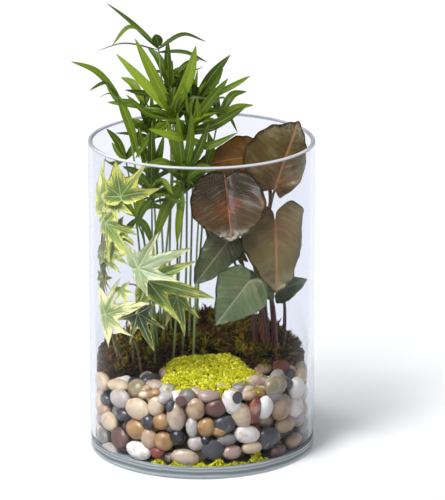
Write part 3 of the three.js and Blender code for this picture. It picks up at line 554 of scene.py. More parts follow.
def paintPebbles(graph):
    tint, seed = graph.attribute("tint", "Color"), graph.attribute("seed")
    shifted = graph.shift(objectPlace(graph), graph.combine(seed, seed * 2.3))
    cloud, speck, band = [graph.noise(shifted, *size) for size in ((130, 4), (900, 2), (60, 2))]
    stain = graph.mix(1.0, tint, (0.62, 0.42, 0.26), "MULTIPLY")
    stained = graph.mix(cloud.between(0.45, 0.75) * 0.7, tint, stain)
    veined = graph.mix(band.between(0.55, 0.72) * 0.4, stained, (0.62, 0.53, 0.40))
    speckled = graph.mix(speck.between(0.62, 0.74) * 0.45, veined, (0.07, 0.05, 0.035))
    return finish(speckled, 0.3 + cloud * 0.22, cloud * 0.7 + speck * 0.3, 0.2, 0.5)


def makePebbles():
    seen = seenStones()
    rest, deep = ruleStones(seen)
    dice = random.Random(bed["seed"] + 1)
    material = makeMaterial("pebbleStone", paintPebbles, Coat_Weight=0.35, Coat_Roughness=0.18)
    tree = pebbleTree()
    for name, stones, detail in (("wallPebbles", seen + rest, 3), ("deepPebbles", deep, 2)):
        mesh = meshFrom(name, [place for place, *_ in stones], attributes={
            "halfSize": [half * mm for _, half, _, _ in stones],
            "turn": [turn for *_, turn, _ in stones],
            "tint": [colour for *_, colour in stones],
            "seed": [dice.uniform(0, 20) for _ in stones],
        })
        piece = runTree(name, mesh, tree, lump=bed["lump"] * mm, lumpSize=bed["lumpSize"], detail=detail,
                        material=material)
        placePiece(piece, "pebbles", "pebble_bed")
        print(name, "made:", len(stones), "stones")


makePebbles()


# Gravel core: what the gaps between the stones show, painted near black as the shade deep in the gaps.

gravel = {"radius": 80, "top": 64, "bottom": 12, "sides": 72}  # mm


def paintGravelAndShade(graph):
    grain = graph.noise(objectPlace(graph), 420, 3)
    # painted shade: near black to dark brown, for the deep gaps between the stones
    colour = graph.mix(grain.between(0.35, 0.75), (0.012, 0.009, 0.007), (0.10, 0.075, 0.05))
    return finish(colour, 0.7 + grain * 0.2, grain, 1.5)


def makeGravelShadeCore():
    radius, top, bottom = gravel["radius"], gravel["top"], gravel["bottom"]
    rings = [(radius * 0.5, bottom), (radius, bottom)]
    rings += [(radius, bottom + (top - bottom) * share) for share in (0.25, 0.5, 0.75, 1)]
    rings += [(radius * 0.5, top)]
    mesh = lathe("gravelCore", bottom, top, rings, gravel["sides"])
    mesh.materials.append(makeMaterial("gravelInPaintedShade", paintGravelAndShade))
    placePiece(showObject("gravelCore", mesh), "pebbles", "pebble_bed")


makeGravelShadeCore()


# Ground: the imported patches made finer, with crumbs, granules and sprigs scattered on them.

# swell is the unevenness in mm and bit a crumb's or sprig's size in mm; density is for each square metre;
# bits stand only where the upward part of the surface's normal is above steep
ground = {
    "soil": {
        "fine": 3, "swell": 1.8, "swellSize": 130.0, "steep": -0.3,
        "density": 150000.0, "bit": 1.4, "rise": 0.3, "tilt": 1.5, "scatterSeed": 0,
    },
    "yellow": {
        "fine": 3, "swell": 2.2, "swellSize": 200.0, "steep": 0.1,
        "density": 470000.0, "bit": 1.5, "rise": 1.3, "tilt": 1.5, "scatterSeed": 10,
    },
    "moss": {
        "fine": 2, "swell": 3.2, "swellSize": 120.0, "steep": 0.1,
        "density": 180000.0, "bit": 6.4, "rise": -0.3, "tilt": 0.7, "scatterSeed": 20,
    },
    "looseCrumbs": {
        "count": 150, "middle": (6, -40), "reach": (34, 56), "furthest": 90, "lowest": 55, "above": 0.4,
        "seed": 4, "bit": 1.3, "rise": 0.2, "tilt": 1.5, "scatterSeed": 5,
    },
    "wallCrumbs": {
        "count": 640, "arc": (-29, 38),  # degrees from the front, to the right
        "waves": (8, 19), "foot": 10.2, "heap": 5, "heapToRight": 6, "radius": (88.5, 93.2),
        "seed": 9, "bit": 1.3, "rise": 0.2, "tilt": 1.5, "scatterSeed": 5,
    },
    "tufts": {
        "count": 1500, "across": (-90, 90), "back": (-45, 88), "furthest": 87, "lowest": 60, "onMoss": 0.6,
        "seed": 21, "bit": 10.0, "rise": 0.0, "tilt": 1.1, "scatterSeed": 8,
    },
    "crumb": {"seed": 3, "corners": (0.75, 1.2), "across": 0.85, "height": 0.8},
    "sprig": {"seed": 5, "blades": 6, "reach": (0.25, 0.75), "rise": (0.45, 1.0), "widths": (0.05, 0.075)},
}


def scatterTree(name):  # the surface made uneven, and small bits scattered where it faces up
    graph, inputs = startTree(
        name, bit="object", fine="int", swell="float", swellSize="float", density="float",
        size="float", rise="float", tilt="float", steep="float", seed="int",
    )
    finer = graph.add("GeometryNodeSubdivideMesh", {}, {"Mesh": inputs["geometry"], "Level": inputs["fine"]})
    normal = graph.add("GeometryNodeInputNormal")
    uneven = graph.noise(graph.add("GeometryNodeInputPosition"), inputs["swellSize"], 3.0) - 0.5
    smooth = graph.smooth(graph.place(finer, Offset=graph.scale(normal, uneven * 2 * inputs["swell"])))
    facing = graph.split(normal)[2]
    points = graph.add("GeometryNodeDistributePointsOnFaces", {}, {
        "Mesh": smooth, "Selection": facing.maths("GREATER_THAN", facing, inputs["steep"]),
        "Density": inputs["density"], "Seed": inputs["seed"]}, "Points")
    rotation = Wire(graph, points.socket.node.outputs["Rotation"])
    # the surface is marked shade 0, which the moss paints turn into painted shade between the bits
    both = graph.add("GeometryNodeJoinGeometry", {}, {"Geometry": mark(graph, smooth, "shade", 0.0)})
    bits = scatterBits(graph, inputs, points, rotation)
    graph.tree.links.new(bits.socket, both.socket.node.inputs[0])
    return endTree(graph, both, inputs["material"])


def mark(graph, geometry, name, value):
    return graph.add("GeometryNodeStoreNamedAttribute", {"data_type": "FLOAT"}, {
        "Geometry": geometry, "Name": name, "Value": value})


def scatterBits(graph, inputs, points, rotation):
    def dice(kind, low, high, extra):
        suffix = "" if kind == "FLOAT_VECTOR" else "_001"
        sockets = {"Min" + suffix: low, "Max" + suffix: high, "Seed": inputs["seed"] + extra}
        return graph.add("FunctionNodeRandomValue", {"data_type": kind}, sockets, "Value" + suffix)

    size = dice("FLOAT", 0.6, 1.25, 1) * inputs["size"]
    tilt = graph.scale(dice("FLOAT_VECTOR", (-1, -1, 0), (1, 1, 0), 2), inputs["tilt"])
    euler = graph.shift(tilt, graph.combine(0.0, 0.0, dice("FLOAT", 0.0, 6.28, 3)))
    lean = graph.add("FunctionNodeEulerToRotation", {}, {"Euler": euler})
    turn = graph.add("FunctionNodeRotateRotation", {"rotation_space": "LOCAL"}, {
        "Rotation": rotation, "Rotate By": lean})
    rise = graph.combine(0.0, 0.0, dice("FLOAT", -0.6, 1.0, 4) * inputs["rise"])
    tagged = mark(graph, graph.place(points, Offset=rise), "shade", dice("FLOAT", 0.25, 1.0, 5))
    shape = graph.add("GeometryNodeObjectInfo", {}, {"Object": inputs["bit"]}, "Geometry")
    return graph.add("GeometryNodeInstanceOnPoints", {}, {
        "Points": tagged, "Instance": shape, "Rotation": turn, "Scale": graph.combine(size, size, size)})


def looseTree(name):  # the same bits on points of a list
    graph, inputs = startTree(name, bit="object", size="float", rise="float", tilt="float", seed="int")
    none = graph.add("FunctionNodeEulerToRotation", {}, {"Euler": (0.0, 0.0, 0.0)})
    return endTree(graph, scatterBits(graph, inputs, inputs["geometry"], none), inputs["material"])


def hiddenBit(name, points, faces, grow):  # a small shape of unit size that is only instanced
    mesh = bpy.data.meshes.new(name)
    mesh.from_pydata(points, [], faces)
    mesh.attributes.new("grow", "FLOAT", "POINT").data.foreach_set("value", grow)
    mesh.shade_smooth()
    return bpy.data.objects.new(name, mesh)


def crumbBit():
    golden = (1 + math.sqrt(5)) / 2
    corners = [(-1, golden, 0), (1, golden, 0), (-1, -golden, 0), (1, -golden, 0),
               (0, -1, golden), (0, 1, golden), (0, -1, -golden), (0, 1, -golden),
               (golden, 0, -1), (golden, 0, 1), (-golden, 0, -1), (-golden, 0, 1)]
    faces = [(0, 11, 5), (0, 5, 1), (0, 1, 7), (0, 7, 10), (0, 10, 11), (1, 5, 9), (5, 11, 4), (11, 10, 2),
             (10, 7, 6), (7, 1, 8), (3, 9, 4), (3, 4, 2), (3, 2, 6), (3, 6, 8), (3, 8, 9), (4, 9, 5),
             (2, 4, 11), (6, 2, 10), (8, 6, 7), (9, 8, 1)]
    sizes = ground["crumb"]
    dice = random.Random(sizes["seed"])
    points = [Vector(corner).normalized() * dice.uniform(*sizes["corners"]) for corner in corners]
    flat = [(point.x, point.y * sizes["across"], point.z * sizes["height"]) for point in points]
    return hiddenBit("crumbBit", flat, faces, [0.5 + 0.5 * point.z for point in points])


def sprigBit():  # blades that bend outwards from one root
    sizes = ground["sprig"]
    dice, blades = random.Random(sizes["seed"]), sizes["blades"]
    points, faces, grow = [], [], []
    for blade in range(blades):
        angle = 2 * math.pi * blade / blades + dice.uniform(-0.4, 0.4)
        reach, rise = dice.uniform(*sizes["reach"]), dice.uniform(*sizes["rise"])
        out = Vector((math.cos(angle), math.sin(angle), 0))
        side = Vector((-out.y, out.x, 0))
        first = len(points)
        for share, width in zip((0, 0.55), sizes["widths"]):
            middle = out * reach * share ** 1.5 + Vector((0, 0, rise * math.sin(share * 1.5)))
            ridge = middle + (out + Vector((0, 0, 1))) * width
            points += [middle + side * width, middle - side * width, ridge]
            grow += [share] * 3
        points.append(out * reach + Vector((0, 0, rise * math.sin(1.5) * dice.uniform(0.75, 1))))
        grow.append(1)
        for a, b in ((0, 1), (1, 2), (2, 0)):
            faces.append((first + a, first + b, first + b + 3, first + a + 3))
            faces.append((first + a + 3, first + b + 3, first + 6))
        faces.append((first + 2, first + 1, first))
    return hiddenBit("sprigBit", points, faces, grow)


def paintSoil(graph):  # dark grains with lighter crumbs, and reddish fibres through them
    place = objectPlace(graph)
    x, y, z = graph.split(place)
    grain = graph.noise(place, 500, 4)
    dark = graph.mix(grain.between(0.3, 0.75), (0.008, 0.004, 0.002), (0.05, 0.025, 0.010))
    crumbs = graph.mix(graph.attribute("shade").between(0.7, 1.0) * 0.6, dark, (0.12, 0.06, 0.022))
    fibre = graph.noise(graph.combine(x, y, z * 2.2), 170, 4)
    mossy = graph.mix(graph.noise(place, 45, 2), (0.16, 0.11, 0.008), (0.16, 0.05, 0.012))
    colour = graph.mix(fibre.between(0.52, 0.66) * 0.8, crumbs, mossy)
    return finish(colour, 0.8 + grain * 0.15, grain * 0.5 + fibre, 2.5)


def paintMoss(graph):
    # Painted shade: the cushion's surface under the sprigs, marked shade 0, and each sprig's root are painted
    # near black, for the shade inside the mat. Otherwise each sprig's shade value is a random tone.
    shade, patch = graph.attribute("shade"), graph.noise(objectPlace(graph), 50, 3)
    green = graph.mix(shade ** 2, (0.012, 0.012, 0.001), (0.46, 0.36, 0.012))
    brown = graph.mix(shade ** 2, (0.012, 0.005, 0.001), (0.26, 0.10, 0.018))
    blade = graph.mix(patch.between(0.44, 0.58), green, brown)
    tip = graph.attribute("grow").between(0.0, 0.7)
    return finish(graph.mix(tip, (0.008, 0.006, 0.002), blade), 0.65 + patch * 0.2)


def paintYellowMoss(graph):
    shade, patch = graph.attribute("shade"), graph.noise(objectPlace(graph), 120, 3)
    bright = graph.mix(shade, (0.24, 0.235, 0.0), (0.64, 0.60, 0.002))
    pale = graph.mix((shade - patch).between(0.3, 0.5) * 0.6, bright, (0.90, 0.87, 0.14))
    # painted shade: the surface between the granules, marked shade 0, is painted darker olive
    return finish(graph.mix(shade.between(0.05, 0.3), (0.13, 0.125, 0.002), pale), 0.5 + patch * 0.2)


def dropOnto(pieces, x, y):  # the highest point of these pieces there
    start = Vector((x, y, 200)) * mm
    hits = [piece.ray_cast(start, Vector((0, 0, -1)))[:2] for piece in pieces]
    heights = [place.z / mm for hit, place in hits if hit]
    return max(heights) if heights else None


def loosePoints():
    sizes = ground["looseCrumbs"]
    dice = random.Random(sizes["seed"])
    under = [bpy.data.objects[name] for name in ("wallPebbles", "mossCushion", "soilBed")]
    low, high = sizes["reach"]
    points = []
    while len(points) < sizes["count"]:
        angle = dice.uniform(0, 2 * math.pi)
        reach = low + (high - low) * dice.random() ** 1.8
        x, y = sizes["middle"][0] + reach * math.cos(angle), sizes["middle"][1] + reach * math.sin(angle)
        level = dropOnto(under, x, y) if math.hypot(x, y) <= sizes["furthest"] else None
        if level is not None and level > sizes["lowest"]:
            points.append((x, y, level + sizes["above"]))
    return points


def wallPoints():  # heaped between the front stones and the glass, higher to the right
    sizes = ground["wallCrumbs"]
    dice, (slow, quick), (left, right) = random.Random(sizes["seed"]), sizes["waves"], sizes["arc"]
    points = []
    while len(points) < sizes["count"]:
        share = dice.random()
        heap = (0.3 + 0.7 * math.sin(slow * share + 0.4) ** 2) * math.sin(quick * share + 0.3) ** 2
        if dice.random() > heap ** 0.8 + 0.06:
            continue
        angle = math.radians(left + (right - left) * share)
        height = (sizes["heap"] + sizes["heapToRight"] * share) * heap * dice.random() ** 1.5
        radius = dice.uniform(*sizes["radius"])
        points.append((radius * math.sin(angle), -radius * math.cos(angle), sizes["foot"] + height))
    return points


def tuftPoints():  # thick on the cushion and thin on the bare soil
    sizes = ground["tufts"]
    dice = random.Random(sizes["seed"])
    points = []
    while len(points) < sizes["count"]:
        x, y = dice.uniform(*sizes["across"]), dice.uniform(*sizes["back"])
        if math.hypot(x, y) > sizes["furthest"]:
            continue
        name = "mossCushion" if dice.random() < sizes["onMoss"] else "soilBed"
        level = dropOnto([bpy.data.objects[name]], x, y)
        if level is not None and level > sizes["lowest"]:
            points.append((x, y, level - 1))
    return points


def bitSizes(key):
    sizes = ground[key]
    return {"size": sizes["bit"] * mm, "rise": sizes["rise"] * mm, "tilt": sizes["tilt"],
            "seed": sizes["scatterSeed"]}


def makeGround():
    crumb, sprig = crumbBit(), sprigBit()
    soilPaint = makeMaterial("pottingSoil", paintSoil, Specular_IOR_Level=0.12)
    yellowPaint = makeMaterial("yellowMoss", paintYellowMoss, Specular_IOR_Level=0.2)
    mossPaint = makeMaterial("greenMoss", paintMoss, Specular_IOR_Level=0.1)
    scatter, loose = scatterTree("scatter"), looseTree("looseBits")
    for name, node, key, bit, material, slot in (
        ("soilBed", "soil", "soil", crumb, soilPaint, "soil"),
        ("yellowMossPatch", "yellow_moss", "yellow", crumb, yellowPaint, "yellow_moss"),
        ("mossCushion", "moss", "moss", sprig, mossPaint, "green_moss"),
    ):
        sizes = ground[key]
        piece = runTree(
            name, copyOfNode(node), scatter, bit=bit, material=material, fine=sizes["fine"],
            swell=sizes["swell"] * mm, swellSize=sizes["swellSize"], density=sizes["density"],
            steep=sizes["steep"], **bitSizes(key),
        )
        placePiece(piece, slot, node)
        print(name, "made:", len(piece.data.polygons), "faces")
    for name, node, key, findPoints, bit, material, slot in (
        ("looseYellowCrumbs", "yellow_moss", "looseCrumbs", loosePoints, crumb, yellowPaint, "yellow_moss"),
        ("wallYellowCrumbs", "yellow_crumbs", "wallCrumbs", wallPoints, crumb, yellowPaint, "yellow_moss"),
        ("mossTufts", "moss", "tufts", tuftPoints, sprig, mossPaint, "green_moss"),
    ):
        mesh = meshFrom(name, findPoints())
        piece = runTree(name, mesh, loose, bit=bit, material=material, **bitSizes(key))
        placePiece(piece, slot, node)
        print(name, "made:", len(piece.data.polygons), "faces")


makeGround()


# Paths of stems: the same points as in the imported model, in millimetres.

def pathPoint(points, share):  # a centripetal curve through the points
    last = len(points) - 1
    step = min(int(share * last), last - 1)
    b, c = points[step], points[step + 1]
    a = points[step - 1] if step else b * 2 - c
    d = points[step + 2] if step + 2 <= last else c * 2 - b
    times = [0]
    for one, other in ((a, b), (b, c), (c, d)):
        times.append(times[-1] + math.sqrt((other - one).length))
    now = times[1] + (share * last - step) * (times[2] - times[1])

    def blendAt(one, other, i, j):
        return one.lerp(other, (now - times[i]) / (times[j] - times[i]))

    ab, bc, cd = blendAt(a, b, 0, 1), blendAt(b, c, 1, 2), blendAt(c, d, 2, 3)
    return blendAt(blendAt(ab, bc, 0, 2), blendAt(bc, cd, 1, 3), 1, 2)


plantRadius = 93.9  # the furthest that the middle of a leaf reaches inside the glass


def keepInside(point):
    radius = math.hypot(point.x, point.y)
    if point.z > glass["height"] + 4 or radius <= plantRadius:
        return point
    return Vector((point.x * plantRadius / radius, point.y * plantRadius / radius, point.z))


def vectors(points):
    return [Vector(point) for point in points]


class Strands:  # polylines with attributes, for a tree that gives them a section
    def __init__(self):
        self.points, self.edges = [], []
        self.attributes = {"halfWidth": [], "face": [], "along": [], "shade": []}

    def add(self, path, widths, faces, shade):
        first = len(self.points)
        count = len(path)
        self.points += path
        self.edges += [(first + i, first + i + 1) for i in range(count - 1)]
        self.attributes["halfWidth"] += [width * mm for width in widths]
        self.attributes["face"] += faces
        self.attributes["along"] += [i / (count - 1) for i in range(count)]
        self.attributes["shade"] += [shade] * count

    def mesh(self, name):
        return meshFrom(name, self.points, edges=self.edges, attributes=self.attributes)


def strandTree(name, sides):  # a section swept along each polyline: round, or a folded strap
    graph, inputs = startTree(name, thickness="float", fold="float")
    curve = graph.add("GeometryNodeMeshToCurve", {}, {"Mesh": inputs["geometry"]})
    turned = graph.add("GeometryNodeSetCurveNormal", {"mode": "FREE"}, {
        "Curve": curve, "Normal": namedValue(graph, "face", "FLOAT_VECTOR")})
    sizes = {"Resolution": sides, "Radius": 1.0}
    ring = graph.add("GeometryNodeCurvePrimitiveCircle", {"mode": "RADIUS"}, sizes)
    x, y, _ = graph.split(graph.add("GeometryNodeInputPosition"))
    folded = graph.place(ring, Position=graph.combine(x * inputs["thickness"] + abs(y) * inputs["fold"], y))
    swept = graph.add("GeometryNodeCurveToMesh", {}, {
        "Curve": turned, "Profile Curve": mark(graph, folded, "across", y),
        "Scale": namedValue(graph, "halfWidth"), "Fill Caps": True})
    return endTree(graph, graph.smooth(swept), inputs["material"])


def sweep(name, strands, section, material, thickness=1.0, fold=0.0):
    return runTree(name, strands.mesh(name), section, thickness=thickness, fold=fold, material=material)


stemSection = strandTree("stemSection", 8)
strapSection = strandTree("strapSection", 14)


def addStem(strands, points, radius, taper, shade):
    path = vectors(points)
    count = 6 * len(points)
    shares = [i / (count - 1) for i in range(count)]
    strands.add(
        [keepInside(pathPoint(path, share)) for share in shares],
        [radius * (1 - taper * share) for share in shares],
        [(0, -1, 0)] * count, shade,
    )


# Parlour palm: each frond is a stem and its leaflets. A leaflet leaves the stem at a share of its length,
# and show is how much of its face is turned to the front.

palm = {
    "stemRadius": 1.1, "taper": 0.45, "steps": 16, "thickness": 0.07, "fold": 0.3, "seed": 12,
    "wave": 0.8, "waves": 5,  # mm that a leaflet's path wavers, and how fast
    "leastHalfWidth": 0.12,
    "swell": {"from": 0.07, "by": 0.92, "early": 0.8, "full": 0.75},  # its width is a bent half wave
    "shade": (0.45, 0.3),  # mean and spread of each leaflet's own tone and painted light and shade, from dark, 0, to light, 1
    "fine": {
        "on": (2, 3, 4, 9, 12, 13, 14), "count": 30, "from": (0.8, 0.99), "climb": (0.1, 1.5),
        # shade of the young leaflets: the same painted light and shade, kept darker inside the crown
        "length": (16, 44), "width": (2.6, 5), "show": (0.4, 0.9), "shade": (0.0, 0.75),
        "depth": 0.7, "middle": (0.45, 0.6), "tipRise": (0.6, 1),  # shares of the whole reach and rise
    },
}

fronds = [  # of each, the stem's points and the leaflets: share, middle, tip, width, show
    ([(-27, 24, 73), (-29, 24, 160), (-27, 21, 250), (-29, 20, 304), (-35, 19, 331), (-37, 18, 352),
      (-38, 17, 363)],
     [(0.9, (-13, 13, 357), (5, 9, 350), 6, 0.3), (0.95, (-16, 23, 371), (4, 26, 365), 6, 0.3),
      (0.95, (-58, 21, 379), (-83, 22, 400), 6, 0.35), (0.99, (-62, 9, 381), (-78, 4, 366), 6.5, 0.3),
      (0.99, (-39, 8, 371), (-40, -4, 378), 10, 0.9), (0.93, (-70, 28, 362), (-93, 31, 355), 4, 0.1)]),
    ([(-35, 16, 73), (-33, 12, 160), (-26, 8, 240), (-25, 6, 290), (-26, 7, 306)],
     [(0.99, (-43, 4, 341), (-58, 7, 371), 10, 1), (0.97, (-52, 17, 331), (-75, 27, 353), 9, 0.9),
      (0.97, (-11, 1, 339), (-5, -2, 367), 10.5, 1), (0.93, (-18, 14, 314), (-15, 14, 326), 7, 1),
      (0.86, (-45, -12, 287), (-58, -10, 268), 8, 0.6), (0.88, (-48, 3, 305), (-66, 4, 322), 7, 0.5)]),
    ([(-12, 18, 73), (-10, 18, 160), (-8, 18, 240), (-8, 20, 290), (-6, 22, 310)],
     [(0.98, (9, 25, 334), (25, 31, 351), 9.5, 1), (0.99, (28, 32, 323), (43, 36, 331), 5.5, 0.7),
      (0.95, (22, 27, 298), (32, 31, 281), 5, 0.4), (0.93, (-8, 32, 322), (-12, 44, 336), 8, 0.8),
      (0.97, (12, 22, 328), (19, 18, 342), 5, 0.9)]),
    ([(-18, 8, 73), (-14, 4, 160), (-13, 0, 240), (-12, -2, 275), (-11, -2, 294)],
     [(0.99, (7, -4, 318), (23, -7, 339), 9.5, 1), (0.93, (13, -2, 297), (41, 3, 313), 9.5, 0.9),
      (0.86, (5, -14, 280), (31, -12, 291), 7.5, 0.8), (0.95, (-4, -6, 304), (-4, -10, 322), 8, 1),
      (0.9, (-22, -26, 291), (-46, -32, 300), 9, 0.7)]),
    ([(-44, 20, 73), (-48, 18, 150), (-56, 14, 225), (-62, 14, 275), (-69, 15, 305), (-73, 15, 318)],
     [(0.99, (-92, 9, 341), (-114, 5, 351), 7, 0.5), (0.97, (-84, 4, 332), (-98, -5, 327), 6, 0.3),
      (0.97, (-82, 24, 318), (-91, 29, 312), 4, 0.2), (0.98, (-63, 9, 292), (-55, 5, 264), 8.5, 0.9),
      (0.94, (-66, 11, 314), (-60, 8, 317), 5, 0.6), (0.9, (-76, 34, 312), (-84, 50, 318), 7, 0.5)]),
    ([(-48, 30, 73), (-54, 30, 150), (-60, 26, 215), (-66, 22, 250), (-68, 21, 262)],
     [(0.99, (-75, 21, 276), (-84, 20, 287), 7, 0.8), (0.95, (-78, 8, 258), (-86, -6, 266), 6, 0.5),
      (0.93, (-58, 34, 270), (-54, 44, 284), 7, 0.7), (0.9, (-74, 34, 262), (-80, 44, 268), 6, 0.6)]),
    ([(-38, 6, 73), (-44, 6, 140), (-52, 8, 190), (-60, 9, 212)],
     [(0.99, (-45, 14, 218), (-30, 16, 213), 6, 0.6), (0.99, (-68, 12, 224), (-74, 13, 234), 6, 0.9),
      (0.98, (-72, 2, 219), (-82, -6, 220), 6, 0.6), (0.97, (-52, 11, 230), (-46, 12, 248), 8, 0.9),
      (0.95, (-50, 4, 202), (-44, -3, 186), 7, 0.9), (0.93, (-66, 0, 200), (-72, -8, 188), 6, 0.9)]),
    ([(-8, 6, 73), (-6, 4, 130), (-4, 2, 190), (0, 0, 240), (3, 0, 256)],
     [(0.96, (-26, -8, 232), (-44, -13, 188), 12, 0.95), (0.7, (8, 4, 190), (10, 2, 170), 7, 0.9),
      (0.99, (8, -6, 276), (6, -13, 292), 8, 0.9)]),
    ([(-22, 34, 73), (-22, 38, 160), (-22, 40, 240), (-24, 44, 290), (-28, 50, 318)],
     [(0.99, (-38, 62, 340), (-48, 72, 348), 8, 0.5), (0.97, (-14, 60, 334), (-2, 70, 338), 8, 0.5),
      (0.95, (-48, 48, 312), (-68, 46, 316), 7, 0.6), (0.93, (-2, 48, 306), (18, 52, 310), 7, 0.6),
      (0.99, (-30, 54, 340), (-30, 56, 360), 7, 1)]),
    ([(-6, 32, 73), (-2, 36, 160), (4, 40, 230), (12, 44, 276), (16, 48, 292)],
     [(0.99, (28, 58, 308), (40, 66, 310), 8, 0.5), (0.97, (10, 64, 310), (4, 78, 318), 8, 0.5),
      (0.95, (30, 44, 300), (46, 44, 302), 7, 0.6), (0.9, (2, 54, 286), (-10, 64, 286), 7, 0.6)]),
    ([(-36, 40, 73), (-40, 46, 160), (-44, 50, 230), (-48, 56, 280), (-52, 60, 300)],
     [(0.99, (-62, 70, 316), (-72, 78, 320), 8, 0.5), (0.97, (-46, 76, 312), (-40, 88, 316), 8, 0.5),
      (0.95, (-68, 58, 300), (-84, 58, 302), 7, 0.5), (0.93, (-34, 66, 296), (-20, 72, 300), 7, 0.5)]),
    ([(-26, 5, 73), (-21, -6, 150), (-17, -10, 220), (-16, -12, 254)],
     [(0.99, (-24, -15, 280), (-31, -18, 306), 8, 1), (0.97, (-19, -19, 282), (-21, -24, 312), 7.5, 0.9),
      (0.98, (-10, -19, 284), (-9, -26, 314), 8, 1), (0.96, (-2, -16, 278), (6, -21, 302), 8, 1),
      (0.93, (-34, -18, 266), (-52, -22, 262), 8, 0.7), (0.93, (0, -22, 262), (12, -29, 262), 8, 0.7),
      (0.8, (-20, -16, 214), (-22, -18, 192), 7, 1)]),
    ([(-42, -2, 73), (-44, -4, 150), (-44, -6, 210), (-44, -7, 246)],
     [(0.99, (-50, -8, 270), (-55, -10, 296), 8, 1), (0.98, (-44, -14, 274), (-43, -20, 304), 8, 1),
      (0.97, (-38, -10, 268), (-33, -14, 290), 7.5, 1), (0.95, (-58, -12, 256), (-69, -16, 262), 7, 0.8),
      (0.93, (-34, -16, 248), (-25, -20, 238), 7.5, 0.8), (0.85, (-52, -14, 222), (-58, -18, 206), 7, 0.9)]),
    ([(-30, 30, 73), (-34, 32, 150), (-38, 34, 230), (-42, 32, 270), (-45, 30, 285)],
     [(0.99, (-50, 24, 300), (-54, 20, 314), 8, 0.9), (0.95, (-58, 36, 286), (-70, 40, 294), 7, 0.6),
      (0.95, (-34, 20, 288), (-28, 14, 298), 7, 0.8), (0.9, (-48, 46, 278), (-56, 58, 276), 7, 0.5)]),
]


def addLeaflet(strands, points, width, show, shade, dice):
    path = vectors(points)
    count, swell = palm["steps"], palm["swell"]
    phase = dice.uniform(0, 6)
    face = Vector((0, -show, 1.05 - show)).normalized()
    places, widths, faces = [], [], []
    for i in range(count):
        share = i / (count - 1)
        waver = palm["wave"] * math.sin(phase + palm["waves"] * share) * share
        places.append(keepInside(pathPoint(path, share) + face * waver))
        bend = math.pi * (swell["from"] + swell["by"] * share ** swell["early"])
        widths.append(max(palm["leastHalfWidth"], width / 2 * math.sin(bend) ** swell["full"]))
        faces.append(face)
    strands.add(places, widths, faces, shade)


def addFineLeaflets(strands, stem, dice):  # young leaflets that fill the crown
    fine = palm["fine"]
    middleReach, middleRise = fine["middle"]
    for _ in range(fine["count"]):
        foot = pathPoint(stem, dice.uniform(*fine["from"]))
        heading, climb = dice.uniform(0, 2 * math.pi), dice.uniform(*fine["climb"])
        length = dice.uniform(*fine["length"])
        flat = Vector((math.cos(heading), fine["depth"] * math.sin(heading), 0)) * length * math.cos(climb)
        rise = Vector((0, 0, length * math.sin(climb)))
        middle = foot + flat * middleReach + rise * middleRise
        points = [foot, middle, foot + flat + rise * dice.uniform(*fine["tipRise"])]
        width, show, shade = [dice.uniform(*fine[key]) for key in ("width", "show", "shade")]
        addLeaflet(strands, points, width, show, shade, dice)


def paintPalmLeaf(graph):
    across, along, shade = [graph.attribute(name) for name in ("across", "along", "shade")]
    # each leaflet's shade, with noise, sets painted light and shade: deep green for leaflets in shadow,
    # yellow-green for lit ones, along with their own tone
    green = graph.ramp(
        shade * 0.85 + graph.noise(objectPlace(graph), 45, 2) * 0.35 - 0.08,
        (0.0, (0.010, 0.024, 0.001)), (0.35, (0.042, 0.085, 0.001)),
        (0.7, (0.125, 0.205, 0.002)), (1.0, (0.27, 0.37, 0.02)),
    )
    veins = (across * 26).sine() * 0.5 + 0.5
    rib = 1 - abs(across).between(0.03, 0.12)
    striped = graph.mix(veins * 0.3, green, (0.16, 0.26, 0.02))
    ribbed = graph.mix(rib * 0.5, striped, (0.36, 0.44, 0.10))
    tipped = graph.mix(along.between(0.86, 1.0) * 0.35, ribbed, (0.30, 0.30, 0.05))
    return finish(tipped, 0.38 + veins * 0.1, veins * 0.3 - rib, 0.12, 0.6)


def paintPalmStem(graph):
    fibre = graph.noise(objectPlace(graph), 300, 3)
    green = graph.mix(graph.attribute("shade"), (0.10, 0.20, 0.03), (0.27, 0.40, 0.10))
    foot = (1 - graph.attribute("along")).between(0.75, 1.0)
    return finish(graph.mix(foot * 0.6, green, (0.16, 0.15, 0.05)), 0.4 + fibre * 0.2, fibre, 0.1, 0.5)


def makePalm():
    leafPaint = makeMaterial("palmLeaf", paintPalmLeaf, Specular_IOR_Level=0.2, Coat_Weight=0.06,
                             Coat_Roughness=0.2)
    stemPaint = makeMaterial("palmStem", paintPalmStem)
    dice = random.Random(palm["seed"])
    for number, (path, leaflets) in enumerate(fronds, 1):
        stem = vectors(path)
        stems, straps = Strands(), Strands()
        addStem(stems, path, palm["stemRadius"], palm["taper"], dice.random())
        for share, middle, tip, width, show in leaflets:
            shade = min(1, max(0, dice.gauss(*palm["shade"])))
            addLeaflet(straps, [pathPoint(stem, share), middle, tip], width, show, shade, dice)
        if number in palm["fine"]["on"]:
            addFineLeaflets(straps, stem, dice)
        stalk = sweep("stalk", stems, stemSection, stemPaint)
        blades = sweep("blades", straps, strapSection, leafPaint, palm["thickness"], palm["fold"])
        placePiece(joinPieces(f"palmFrond{number}", [stalk, blades]), "palm_leaf", f"palm_frond_{number}")
    print("palm made:", len(fronds), "fronds")


makePalm()


# Whole leaves: half outlines as (degrees from the tip, reach), with the other half mirrored.

